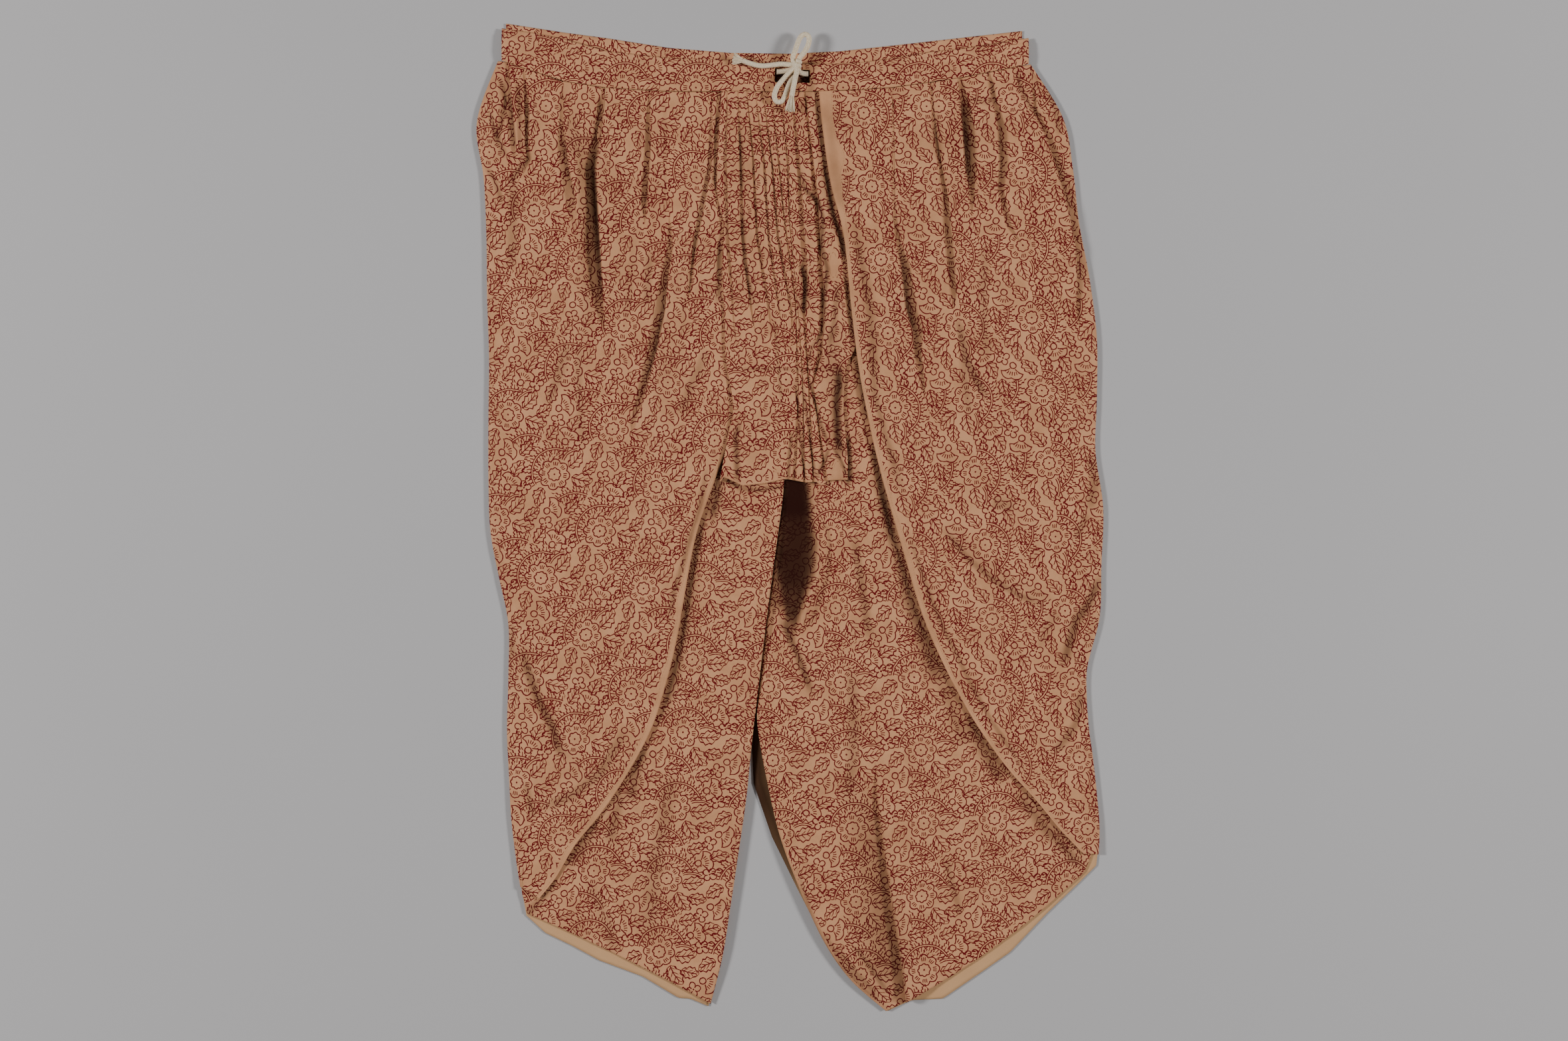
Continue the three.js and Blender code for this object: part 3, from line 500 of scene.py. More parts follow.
def shell(name: str, top: Array, thickness: float, on_print: Array, margin: Array,
          hole: tuple[int, int, int, int] | None = None, flat_under: float | None = None,
          shade: Array | None = None) -> Piece:
    """Make a closed shell of cloth under a grid of points.

    Args:
        name: Name of the piece.
        top: Points of the upper face by row and column, mm.
        thickness: Thickness of the cloth, mm.
        on_print: Place of each point on the print, mm.
        margin: How far each point is inside a plain margin, mm.
        hole: First and last row and first and last column of an opening, if there is one.
        flat_under: Height of a flat under face, for cloth that lies on the surface.
        shade: Share of painted shade at each point, which darkens its colour.

    Returns:
        The piece, with faces of the under side in the second material.
    """
    rows, columns = top.shape[:2]
    under_rows = sorted({*range(0, rows - 1, UNDER_STEP), rows - 1, *(hole[:2] if hole else ())})
    across, along = np.gradient(top, axis=1), -np.gradient(top, axis=0)
    normal = np.cross(across, along)
    normal /= np.linalg.norm(normal, axis=-1, keepdims=True) + 1e-12
    under = top - normal * thickness
    lowest = under[:, :, 2].copy()
    for step in range(1, UNDER_STEP + 1):
        lowest[step:] = np.minimum(lowest[step:], under[:-step, :, 2])
        lowest[:-step] = np.minimum(lowest[:-step], under[step:, :, 2])
    under[1:-1, :, 2] = lowest[1:-1]
    if flat_under is not None:
        under = np.concatenate([top[:, :, :2], np.full((rows, columns, 1), flat_under)], axis=-1)
    under = under[under_rows]
    index = np.arange(rows * columns).reshape(rows, columns)
    below = rows * columns + np.arange(len(under_rows) * columns).reshape(len(under_rows), columns)

    def solid(r: int, c: int) -> bool:
        """Tell whether the cell below and right of a point is cloth."""
        return not (hole and hole[0] <= r < hole[1] and hole[2] <= c < hole[3])

    faces, kinds = [], []
    for r in range(rows - 1):
        cells = [c for c in range(columns - 1) if solid(r, c)] if hole else range(columns - 1)
        a, b = index[r], index[r + 1]
        faces += [(a[c], b[c], b[c + 1], a[c + 1]) for c in cells]
    kinds += [0] * len(faces)
    for k in range(len(under_rows) - 1):
        r, s = under_rows[k], under_rows[k + 1]
        a, b = below[k], below[k + 1]
        cells = [c for c in range(columns - 1) if solid(r, c)] if hole else range(columns - 1)
        faces += [(a[c], a[c + 1], b[c + 1], b[c]) for c in cells]
        sides = [(0, 1), (columns - 1, -1)]
        if hole and hole[0] <= r < hole[1]:
            sides += [(hole[2], -1), (hole[3], 1)]
        for c, way in sides:
            ring = [*index[r : s + 1, c], b[c], a[c]]
            faces.append(tuple(ring[::-1] if way > 0 else ring))
    for c in range(columns - 1):
        faces.append((index[0, c + 1], below[0, c + 1], below[0, c], index[0, c]))
        faces.append((index[-1, c], below[-1, c], below[-1, c + 1], index[-1, c + 1]))
    if hole:
        for c in range(hole[2], hole[3]):
            upper, lower = under_rows.index(hole[0]), under_rows.index(hole[1])
            faces.append((index[hole[0], c], below[upper, c], below[upper, c + 1], index[hole[0], c + 1]))
            faces.append((index[hole[1], c + 1], below[lower, c + 1], below[lower, c], index[hole[1], c]))
    kinds += [1] * (len(faces) - len(kinds))
    points = np.concatenate([top.reshape(-1, 3), under.reshape(-1, 3)]) * MM
    mesh = bpy.data.meshes.new(name)
    mesh.from_pydata(points.tolist(), [], [tuple(int(i) for i in f) for f in faces])
    mesh.polygons.foreach_set("material_index", kinds)
    mesh.polygons.foreach_set("use_smooth", [True] * len(faces))
    flat = np.concatenate([on_print.reshape(-1, 2), on_print[under_rows].reshape(-1, 2)])
    corner = np.zeros(len(mesh.loops), dtype=np.int32)
    mesh.loops.foreach_get("vertex_index", corner)
    layer = mesh.uv_layers.new(name="print")
    layer.data.foreach_set("uv", flat[corner].ravel() / Print.REPEAT)
    for label, values in (("margin", margin), ("shade", 0 * margin if shade is None else shade)):
        kept = mesh.attributes.new(label, "FLOAT", "POINT")
        kept.data.foreach_set("value", np.concatenate([values.ravel(), values[under_rows].ravel()]))
    mesh.validate()
    mesh.update()
    return linked(name, mesh)


def linked(name: str, mesh: bpy.types.Mesh) -> Piece:
    """Make an object of a mesh and put it in the scene."""
    piece = bpy.data.objects.new(name, mesh)
    bpy.context.scene.collection.objects.link(piece)
    return piece


# ---- sizes of the pieces ------------------------------------------------------------------------------
DRAPE_LEFT_ROWS = np.array([
    (-286.5, 447.0, 3.0, 4.9, -51.8, 416.9, 4.9, 6), (-307.0, 387.4, 3.0, 4.9, -51.8, 364.5, 4.9, 4),
    (-300.2, 331.9, 3.0, 5.2, -51.8, 299.3, 4.9, 2), (-297.6, 273.3, 3.0, 5.4, -51.8, 227.6, 4.9, 0),
    (-296.9, 214.6, 3.0, 5.6, -50.5, 155.9, 4.9, 0), (-295.0, 155.9, 3.0, 5.8, -53.1, 97.2, 4.9, 0),
    (-295.6, 97.2, 3.0, 6.0, -73.9, 35.3, 5.0, 0), (-295.6, 38.5, 3.0, 6.2, -90.9, -13.6, 6.4, 0),
    (-293.7, -13.6, 3.0, 6.2, -101.3, -65.8, 6.8, 0), (-285.2, -59.3, 3.0, 6.2, -110.4, -117.9, 6.8, 0),
    (-276.1, -104.9, 3.0, 6.2, -121.5, -163.6, 6.8, 0), (-276.1, -157.1, 3.0, 6.2, -136.5, -209.2, 6.8, 0),
    (-277.4, -209.2, 3.0, 6.0, -161.3, -254.9, 6.6, 0), (-275.4, -254.9, 3.0, 5.8, -185.4, -290.7, 6.4, 0),
    (-273.4, -294.0, 3.0, 5.4, -209.6, -320.1, 6.2, 0), (-268.9, -333.1, 3.2, 5.2, -229.1, -352.7, 5.8, 0),
    (-264.3, -362.4, 4.2, 4.9, -246.0, -374.0, 5.4, 0),
])
DRAPE_RIGHT_ROWS = np.array([
    (28.4, 416.9, 8.6, 4.9, 236.4, 443.7, 3.0, 5), (31.7, 382.8, 8.8, 4.9, 267.7, 391.9, 3.0, 3),
    (39.5, 328.7, 9.0, 5.2, 277.5, 341.7, 3.0, 0), (52.6, 276.5, 9.0, 5.4, 283.4, 289.6, 3.0, 0),
    (59.1, 214.6, 8.8, 5.6, 293.8, 234.1, 3.0, 0), (66.9, 149.4, 8.4, 5.8, 301.0, 175.5, 3.0, 0),
    (78.6, 87.4, 7.6, 6.0, 301.0, 116.8, 3.0, 0), (91.7, 33.3, 7.2, 6.2, 299.7, 64.6, 3.0, 0),
    (111.2, -34.5, 7.0, 6.2, 307.2, 9.2, 3.0, 0), (129.5, -95.1, 7.0, 6.2, 305.5, -46.2, 3.0, 0),
    (150.4, -144.0, 7.0, 6.2, 303.6, -98.4, 3.0, 0), (173.8, -188.4, 7.0, 6.0, 291.2, -150.5, 3.0, 0),
    (194.7, -221.0, 6.8, 6.0, 292.5, -199.4, 3.0, 0), (215.6, -249.0, 6.6, 5.8, 297.1, -235.3, 3.0, 0),
    (240.3, -276.4, 6.4, 5.4, 301.0, -271.2, 3.0, 0), (265.1, -306.4, 6.0, 5.2, 303.6, -303.8, 3.4, 0),
    (288.0, -330.2, 5.2, 4.9, 302.6, -330.6, 4.4, 0),
])
LEG_LEFT_ROWS = np.array([
    (-283.2, 442.8, 2.9, 2.9, -3.2, 416.9, 2.9, 6), (-303.4, 384.1, 2.9, 2.9, -3.2, 358.0, 2.9, 4),
    (-295.6, 292.8, 2.9, 2.9, -3.2, 260.2, 2.9, 0), (-294.3, 201.5, 2.9, 2.9, -3.2, 162.4, 2.9, 0),
    (-292.4, 116.8, 2.9, 2.9, -4.0, 84.2, 2.9, 0), (-293.0, 38.5, 2.9, 2.9, -6.1, 28.8, 4.4, 0),
    (-291.1, -13.6, 2.9, 3.0, -11.3, -13.6, 6.0, 0), (-281.9, -59.3, 2.9, 3.0, -17.9, -62.5, 7.0, 0),
    (-273.4, -117.9, 2.9, 3.0, -25.0, -117.9, 7.0, 0), (-274.1, -176.6, 2.9, 3.0, -31.6, -173.4, 6.4, 0),
    (-274.8, -222.3, 2.9, 3.0, -37.4, -222.3, 6.0, 0), (-272.8, -274.4, 2.9, 3.0, -42.6, -274.4, 6.2, 0),
    (-268.2, -326.6, 2.9, 3.0, -50.5, -329.8, 6.4, 0),
    (-263.0 - SIDE_INSET, -362.4, 2.9, 3.0, -58.3, -382.0, 6.2, 0),
    (-260.0 - SIDE_INSET, -378.7, 2.9, 3.0, -66.1, -430.9, 5.6, 0),
    (-257.8 - SIDE_INSET, -388.6, 2.9, 2.9, -77.8, -477.4, 3.4, -3),
])
LEG_LEFT_ROWS[:, 0] += SIDE_INSET
LEG_RIGHT_ROWS = np.array([
    (-2.8, 416.9, 2.9, 2.9, 233.8, 440.2, 2.9, 5), (-2.8, 358.0, 2.9, 2.9, 267.7, 384.1, 2.9, 3),
    (-2.8, 260.2, 2.9, 2.9, 280.8, 292.8, 2.9, 0), (-2.8, 162.4, 2.9, 2.9, 297.7, 175.5, 2.9, 0),
    (-3.6, 84.2, 2.9, 2.9, 299.0, 90.7, 2.9, 0), (-5.5, 28.8, 2.9, 2.9, 300.3, 38.5, 2.9, 0),
    (-10.6, -13.6, 2.9, 3.0, 303.6, -13.6, 2.9, 0), (-17.2, -62.5, 2.9, 3.0, 303.6, -59.3, 2.9, 0),
    (-24.3, -117.9, 2.9, 3.0, 300.3, -104.9, 2.9, 0), (-30.6, -173.4, 4.6, 3.0, 289.9, -150.5, 2.9, 0),
    (-31.6, -205.3, 6.0, 3.0, 289.9, -170.1, 2.9, 0), (-21.8, -261.4, 7.4, 3.0, 292.5, -199.4, 2.9, 0),
    (-9.4, -313.5, 7.6, 3.0, 297.1, -235.3, 2.9, 2), (10.2, -365.7, 7.0, 3.0, 300.3, -267.9, 2.9, 5),
    (33.0, -415.3, 6.0, 3.0, 301.6, -297.2, 2.9, 8), (59.1, -453.1, 4.8, 3.0, 308.0, -323.3, 2.9, 10),
    (94.3, -484.4, 3.4, 3.0, 299.6, -348.1, 2.9, 12),
])
LEG_RIGHT_ROWS[:, 4] -= SIDE_INSET
CENTRE_ROWS = np.array([
    (-66.8, 416.9, 8.5, 5.6, 34.7, 416.9, 5.0, 0), (-69.4, 377.6, 8.5, 5.6, 37.0, 377.6, 5.0, 0),
    (-71.3, 318.9, 8.5, 5.6, 44.5, 325.4, 5.0, 0), (-64.8, 286.3, 8.4, 5.6, 56.2, 283.0, 5.0, 0),
    (-66.1, 247.2, 8.0, 5.8, 63.1, 221.1, 5.0, 0), (-64.2, 195.0, 8.0, 5.8, 64.7, 168.9, 5.0, 0),
    (-62.9, 155.9, 8.0, 5.8, 55.6, 148.5, 5.4, 0), (-55.7, 110.3, 8.0, 5.8, 52.6, 110.6, 5.6, 0),
    (-59.6, 84.2, 8.0, 5.8, 53.9, 87.2, 5.8, 0), (-64.8, 58.1, 8.0, 5.8, 56.5, 60.6, 6.0, 0),
    (-68.7, 35.9, 8.0, 5.8, 56.5, 35.3, 6.4, -2),
])
LEFT, RIGHT = Side.LEFT, Side.RIGHT
DRAPE_LEFT_PLEATS = (
    Pleat(LEFT, ((-276, 446, 1.6), (-272.5, 405, 4.6), (-268.5, 366, 4.4), (-268, 344, 0)), 9, 1.0, 0.8, 6,
        9, 0.6),
    Pleat(LEFT, ((-259.5, 440, 1.6), (-255.5, 400, 4.6), (-256, 366, 4.2), (-254, 350, 3), (-262, 332, 0)),
        10, 1.0, 0.8, 6, -9, 0.6),
    Pleat(LEFT, ((-222, 426, 1.2), (-222, 385, 3.2), (-219.5, 363, 6.5), (-216, 338, 6.5), (-210, 313, 5),
        (-208.5, 284, 0)), 20, 1.8, 0.9, 7, 12, 0.55),
    Pleat(LEFT, ((-181, 422, 1.8), (-184, 385, 5), (-190.5, 341, 10.6), (-188.3, 300, 11.4),
        (-185.8, 262, 11), (-183.2, 224, 9), (-181, 180, 0), (-190, 100, 0)), 30, 2.8, 1.6, 13, -13, 0.96),
    Pleat(LEFT, ((-136.5, 420, 1.4), (-137, 386, 4), (-136.5, 360, 4.8), (-140, 310, 5.6), (-141.5, 284, 0),
        (-150, 230, 0), (-160, 160, 0), (-175, 80, 0)), 18, 1.6, 0.8, 7, 11, 0.5),
    Pleat(LEFT, ((-119, 417, 0), (-118, 300, 0.4), (-114.5, 265, 4), (-119.5, 233, 5.8), (-122.5, 202, 6.8),
        (-130.5, 164, 7), (-141, 126, 6), (-151, 94, 3), (-156, 78, 0)), 20, 2.0, 1.0, 9, 8, 0.7),
    Pleat(LEFT, ((-75, 417, 1.0), (-77, 343, 3), (-84, 306, 3.4), (-92, 265, 3.4), (-97, 224, 2.2),
        (-100, 205, 0)), 10, 1.2, 0.8, 6, -9, 0.45),
)
DRAPE_RIGHT_PLEATS = (
    Pleat(RIGHT, ((100, 420, 0.8), (100.5, 370, 1.4), (101, 300, 1.6), (104, 270, 3), (109, 246, 7),
        (113.5, 205, 7.8), (120, 183, 7.2), (122, 158, 5.6), (128, 132, 3), (132, 114, 0)), 18, 2.0, 1.0,
        10, 10, 0.75),
    Pleat(RIGHT, ((137, 425, 1.6), (140, 382, 3), (149.5, 316, 4.6), (151, 284, 5.2), (154, 253, 5.2),
        (157.5, 221, 4.2), (160, 198, 0)), 20, 1.4, 0.9, 9, -12, 0.4),
    Pleat(RIGHT, ((165, 430, 1.8), (167.5, 401, 8.4), (170, 370, 10), (172.3, 338, 8.8), (175, 322, 5),
        (178, 294, 0)), 18, 2.8, 1.4, 12, 12, 0.93),
    Pleat(RIGHT, ((193, 436, 1.6), (198, 410, 4), (204, 382, 6), (205.5, 347, 6.2), (203.5, 322, 4.6),
        (212, 285, 3.4), (231, 262, 0)), 16, 1.6, 0.9, 8, -11, 0.55),
    Pleat(RIGHT, ((236, 438, 1.2), (239, 395, 3.4), (247.5, 379, 4.4), (254, 363, 5), (262, 338, 5.4),
        (267, 322, 5.4), (274.5, 294, 5.4), (279.5, 265, 5.2), (281, 240, 4.8), (280, 205, 3),
        (284, 178, 0)), 16, 1.4, 0.8, 9, 9, 0.4),
)
LEG_RIGHT_PLEATS = (
    Pleat(LEFT, ((84, 420, 0), (84, -235, 0), (85.5, -274, 3), (93, -330, 5), (101, -385, 6.5),
        (110, -440, 7.5), (116, -490, 7)), 24, 2.0, 0.6, 16, 10, 0.26),
)
CENTRE_PLEATS = tuple(Pleat(LEFT, run, spread, 0.7, 0.25, 2.2, shift) for spread, shift, run in (
    (6, 8, ((-60.5, 417, 0.9), (-62, 352, 2.2), (-60, 276, 2.4), (-53, 182, 1.2), (-50, 156, 0))),
    (7, -9, ((-50, 417, 0.9), (-47, 352, 2.8), (-45, 276, 3.0), (-38, 213, 2.4), (-30, 160, 0))),
    (6, 9, ((-41.5, 417, 0.9), (-35, 352, 2.4), (-31, 276, 2.6), (-20, 208, 2.0), (-14, 160, 0))),
    (6, -8, ((-33, 417, 0.9), (-24, 345, 2.2), (-20, 276, 2.2), (-11, 213, 1.6), (-4, 165, 0))),
    (6, 10, ((-25.5, 417, 0.9), (-16.5, 345, 2.2), (-11, 276, 2.2), (3, 199, 1.8), (4, 150, 0))),
    (6, -9, ((-17, 417, 0.9), (-10, 345, 2.0), (-5.5, 300, 2.0), (6, 212, 1.4), (9, 125, 1.6), (7, 60, 2.4),
        (5, 36, 2.6))),
    (6, 8, ((-8, 417, 0.9), (-1, 345, 2.0), (0, 290, 1.6), (9.5, 190, 1.0), (13, 130, 1.6), (15, 36, 2.4))),
    (9, -10, ((3, 417, 0.9), (10, 345, 3.4), (17, 240, 3.8), (15, 196, 2.4), (19, 130, 1.8),
        (24, 36, 2.4))),
    (12, 12, ((15, 417, 0.9), (28, 310, 5.2), (34, 215, 4.8), (32, 160, 4.6), (23, 130, 2.8),
        (37, 36, 3.0))),
))
DRAPE_LEFT_CREASES = (
    trough(0.45, 2.6, (-284, 436), (-278.5, 408), (-283, 384), (-291, 360)),
    trough(0.45, 2.6, (-296, 402), (-288, 376), (-277, 350)),
    trough(0.35, 2.4, (-266, 432), (-265, 404), (-264, 372), (-262, 352)),
    Crease(2.6, 5, ((-290, 438), (-286, 410), (-288, 386), (-296, 362))),
    Crease(2.2, 5, ((-270, 436), (-268, 404), (-264, 380))),
    trough(0.4, 2.6, (-299, 345), (-289, 330), (-281, 306)),
    trough(0.16, 9, (-196, 402), (-198, 370), (-200, 340), (-199, 280), (-197, 225), (-194, 162)),
    trough(0.5, 3, (-185, 414), (-186, 392), (-188, 364)),
    Crease(3.4, 8, ((-210, 370), (-208, 310), (-205, 250), (-203, 196)), 0.5),
    trough(0.16, 8, (-216, 402), (-212, 372), (-207, 348)),
    trough(0.5, 3.4, (-252, 358), (-260, 347), (-268, 337), (-276, 326)),
    trough(0.28, 5, (-271, 338), (-271, 300), (-272, 265), (-273, 236)),
    trough(0.3, 4, (-137, 264), (-139, 235), (-140, 203)),
    trough(0.32, 4.5, (-80, 170), (-87, 150), (-98, 126), (-108, 95)),
    trough(0.28, 5, (-216, 174), (-222, 155), (-233, 120), (-239, 106)),
    trough(0.2, 4, (-205, 178), (-207, 140), (-204, 90), (-201, 56)),
    trough(0.4, 2.6, (-69, 404), (-73.5, 354), (-72.5, 312)),
    trough(0.5, 3, (-68, 276), (-69.5, 240), (-71, 206)),
    trough(0.45, 2.6, (-79, 60), (-88, 10), (-97, -18), (-106, -50), (-113, -72), (-121, -112)),
    Crease(2.6, 14, ((-272, -100), (-262, -165), (-240, -215), (-205, -265)), 0.4),
    trough(0.58, 4.6, (-263, -124), (-258, -146), (-245, -182), (-232, -206), (-226, -228), (-210, -238)),
    Crease(1.8, 14, ((-285, 60), (-262, -20), (-225, -90), (-170, -160))),
    trough(0.38, 5, (-158, -202), (-167, -218), (-186, -252), (-217, -275), (-250, -288)),
    trough(0.22, 3.5, (-274, -100), (-271, -140)),
    trough(0.3, 3.5, (-260, -258), (-256, -275), (-250, -298)),
)
DRAPE_RIGHT_CREASES = (
    trough(0.22, 5, (35, 414), (40, 372), (46, 330), (55, 292)),
    trough(0.45, 2.6, (222, 442), (226, 420), (236, 402), (250, 388)),
    trough(0.4, 2.6, (252, 420), (262, 396), (264, 372)),
    Crease(2.4, 5, ((232, 440), (240, 418), (252, 398))),
    trough(0.3, 3.5, (174, 409), (188, 408), (201, 404)),
    trough(0.35, 3, (197, 432), (198.5, 403)),
    trough(0.3, 4, (141, 400), (143, 370), (146, 346)),
    Crease(-1.4, 4, ((59, 310, 3), (66, 272, 4.5), (72, 240, 5), (78, 208, 5), (81.5, 173, 5.5),
        (82, 142, 5), (83, 120, 4), (87, 105, 3), (94, 79, 3.5), (101, 56, 4), (109, 28, 4), (117, 4, 3)),
        dark=0.42),
    trough(0.4, 2.4, (112, 0), (124, -40), (138, -80), (152, -112), (178, -165), (198, -201), (217, -229),
        (238, -262)),
    trough(0.5, 4, (163, 200), (166, 187), (172, 158), (180, 139), (189, 122), (195, 110)),
    trough(0.3, 4, (168, 164), (170.5, 148), (173.5, 115), (176, 96)),
    trough(0.25, 4.5, (191, 274), (190, 225), (190.5, 190), (193, 146)),
    trough(0.36, 5, (295, 64), (299, 35), (293, 2)),
    trough(0.3, 4, (292, 6), (286, -8), (279, -24)),
    trough(0.3, 6, (196, 15), (208, 12), (220, 8)),
    trough(0.45, 3.4, (144, -4), (153, -15), (176, -42.6), (200, -62), (223, -76), (256, -90)),
    Crease(3.4, 12, ((158, 0), (186, -34), (216, -56), (249, -73), (278, -82)), 0.5),
    trough(0.6, 4.6, (308, -50), (303, -63), (292, -86), (280, -101), (270, -136), (264, -152)),
    Crease(3.0, 11, ((298, -84), (286, -108), (272, -144)), 0.4),
    trough(0.45, 4, (286, -166), (284, -180), (280, -203), (266, -223), (254, -234)),
    trough(0.22, 5, (264, -92), (252, -108), (243, -132)),
    Crease(2.0, 12, ((134, 190), (150, 90), (190, 0))),
    Crease(1.8, 12, ((186, 215), (200, 120), (240, 30))),
)
CENTRE_CREASES = (
    trough(0.62, 2.6, (8, 352), (14.7, 321.5), (27.1, 310.4), (32.3, 292.1), (31, 264.8), (36.9, 243.3),
        (33.6, 216.5), (33.6, 176)),
    trough(0.85, 3.4, (33, 352), (38, 322), (42, 297), (51, 272), (57, 244)),
    trough(0.5, 5, (28.5, 420), (29.5, 395), (34, 363), (37.5, 328)),
    trough(0.75, 3.4, (10.3, 254), (14.5, 235), (15.5, 224), (12, 194)),
    trough(0.42, 3, (47.5, 232), (46.6, 221), (43.4, 189), (38, 164)),
    trough(0.6, 2.4, (55.5, 240), (59, 212), (61.5, 190), (63.8, 168)),
    Crease(-0.2, 8, ((44, 190), (40, 165), (42, 140), (46, 110)), dark=0.24),
    trough(0.3, 1.5, (-15, 200), (-12, 155), (-7, 105)),
    trough(0.55, 1.8, (2.8, 88), (-0.3, 63), (-2, 30)),
    Crease(-0.7, 1.2, ((-60, 145), (-20, 145.5), (10, 144), (50, 145)), dark=0.4),
    trough(0.45, 1.5, (3.6, 142), (8.9, 104.4), (11.5, 62.7), (17, 28)),
    trough(0.45, 1.5, (11.6, 136), (17.7, 92.6), (20.6, 68.5), (27, 28)),
    trough(0.5, 1.8, (16, 146), (24.9, 110.9), (31, 88.7), (36.9, 74.4), (43, 64)),
    trough(0.85, 4.4, (47.5, 156), (48, 129), (45.5, 113), (47, 75), (53, 54)),
    trough(0.4, 1.8, (33.3, 198), (32.1, 180.7), (20, 163.7), (18, 143)),
    trough(0.4, 2.4, (-48.5, 384), (-47, 350), (-46, 314)),
    trough(0.4, 2.6, (-46.5, 306), (-44, 250), (-34, 202)),
    trough(0.6, 3, (-48, 96), (-53, 79), (-51, 30)),
    Crease(4.0, 6.5, ((41, 72), (44, 52), (46, 30))),
    trough(0.5, 2, (38.5, 70), (33, 52), (25, 37)),
    trough(0.5, 1.8, (41.5, 70), (50, 55), (57, 38)),
)
CENTRE_HEM = (
    (-68.1, 34.6), (-64.8, 39.4), (-51.1, 33.3), (-46.6, 30.7), (-23.3, 33.3), (-6.5, 37.2), (-1.6, 37.2),
    (15.8, 34.0), (25.8, 34.6), (31, 30.7), (36.9, 35.9), (53.9, 36.6),
)
CENTRE_ROLLED = ((46.5, 44, 4.6, 13), (43, 36, 7, 5), (-14, 38, 2.2, 8), (42.5, 247, 4.5, 15))
LEG_LEFT_CREASES = (
    Crease(1.6, 14, ((-60, -70), (-75, -200), (-95, -330))),
    # The next seven lay painted shadow on the leg: along the edge of the drape, and under the hem of the
    # centre piece.
    Crease(-0.4, 5, ((-60, 84), (-69, 45), (-72, 20), (-79, -10)), dark=0.75),
    Crease(-0.6, 5, ((-79, 20), (-90, -20), (-97, -62), (-105, -118), (-115, -163), (-131, -214)),
        dark=0.6),
    Crease(-0.5, 6, ((-141, -222), (-151, -250), (-158, -282)), dark=0.5),
    Crease(-0.5, 6, ((-164, -266), (-172, -295), (-177, -324)), dark=0.4),
    Crease(-0.5, 6, ((-186, -294), (-205, -325), (-222, -346)), dark=0.45),
    Crease(-0.4, 4, ((-226, -354), (-245, -376), (-262, -395)), dark=0.45),
    Crease(-0.2, 2.6, ((-74, 33), (-60, 36), (-50, 29), (-30, 27), (-14, 29), (2, 34)), dark=0.6),
    trough(0.25, 8, (-112, -240), (-130, -330), (-140, -420)),
    trough(0.2, 6, (-200, -352), (-178, -400), (-170, -436)),
)
LEG_RIGHT_CREASES = (
    # The first four lay painted shade, with little depth, over the hollow at the crotch and beside it.
    Crease(-1.1, 9, ((5, 70, 11), (5, 32, 11.5), (5, 4, 15), (5.5, -28, 21.5), (5.5, -53, 19), (4, -75, 13),
        (2, -97, 7.5), (-1, -132, 4)), dark=0.88, power=7),
    Crease(-0.1, 9, ((5, 80, 14), (5, 40, 14), (5, 20, 16), (4, -10, 18)), dark=0.97, power=5),
    Crease(-0.1, 9, ((5, 30, 14), (5, -10, 16), (4, -50, 15), (2, -84, 9)), dark=0.72, power=3),
    Crease(-0.1, 7, ((-10, -20), (-10, -56), (-10, -100)), dark=0.6),
    Crease(7.6, 9, ((23, 14), (29.5, -25), (28, -55), (16, -92), (4, -122)), -0.5),
    trough(0.62, 3.6, (-12, -94), (-2, -114), (7, -134), (16, -158), (23, -178)),
    Crease(1.8, 7, ((6, -104), (16, -126), (27, -158))),
    trough(0.3, 6, (59, -140), (62, -180), (63, -205), (61, -246), (54, -292)),
    Crease(-0.8, 6, ((83, -262, 3), (84, -296, 4), (86, -324, 5.5), (89, -363, 8), (92, -400, 10),
        (98, -430, 13), (101, -482, 12)), dark=0.24),
    Crease(-0.4, 12, ((70, -250, 10), (78, -330, 16), (86, -400, 20), (94, -484, 22)), dark=0.26),
    Crease(2.4, 11, ((66, -290), (64, -360), (70, -420)), 0.3),
    Crease(2.6, 13, ((118, -144), (134, -270), (150, -346), (178, -434)), -0.3),
    trough(0.32, 4, (152, -330), (156, -348), (161, -367), (169, -396)),
    trough(0.42, 4.4, (63, -14), (66, -40), (70, -62), (75, -97), (79, -126)),
    # The next seven lay painted shadow on the leg, mostly along the edges of the drape and of the centre
    # piece.
    Crease(-0.3, 3.0, ((63.5, 168), (67, 148), (73, 116), (79, 88)), dark=0.65),
    Crease(-0.3, 3.4, ((55.5, 84), (57, 50), (57, 27)), dark=0.85),
    Crease(-0.3, 3.4, ((80, 84, 3), (84.5, 52, 3.6), (90, 30, 4.2), (95.5, 0, 4.4), (101, -34, 3.4)),
        dark=0.7),
    Crease(-0.5, 5, ((80, 60, 3.5), (86, 30, 4), (95, 0, 4.5), (106, -39, 5), (120, -90, 6.5),
        (141, -148, 8), (162, -184, 7)), dark=0.62),
    Crease(-0.5, 7, ((170, -190), (190, -228), (212, -266)), dark=0.55),
    Crease(-0.4, 8, ((148, -160), (162, -195), (174, -228)), dark=0.3),
    Crease(-0.4, 6, ((218, -264), (250, -304), (272, -327), (290, -350)), dark=0.5),
    trough(0.42, 2.6, (44, -420), (66, -448), (90, -474)),
    trough(0.42, 2.6, (60, -418), (78, -440), (98, -470)),
    trough(0.36, 2.2, (30, -402), (50, -436), (74, -462)),
    trough(0.3, 2.4, (112, -452), (106, -464), (98, -478)),
    Crease(-0.5, 1.9, ((2, -330), (10, -355), (20, -387), (32, -414), (43, -434), (75, -465), (104, -488)),
        dark=0.42),
)


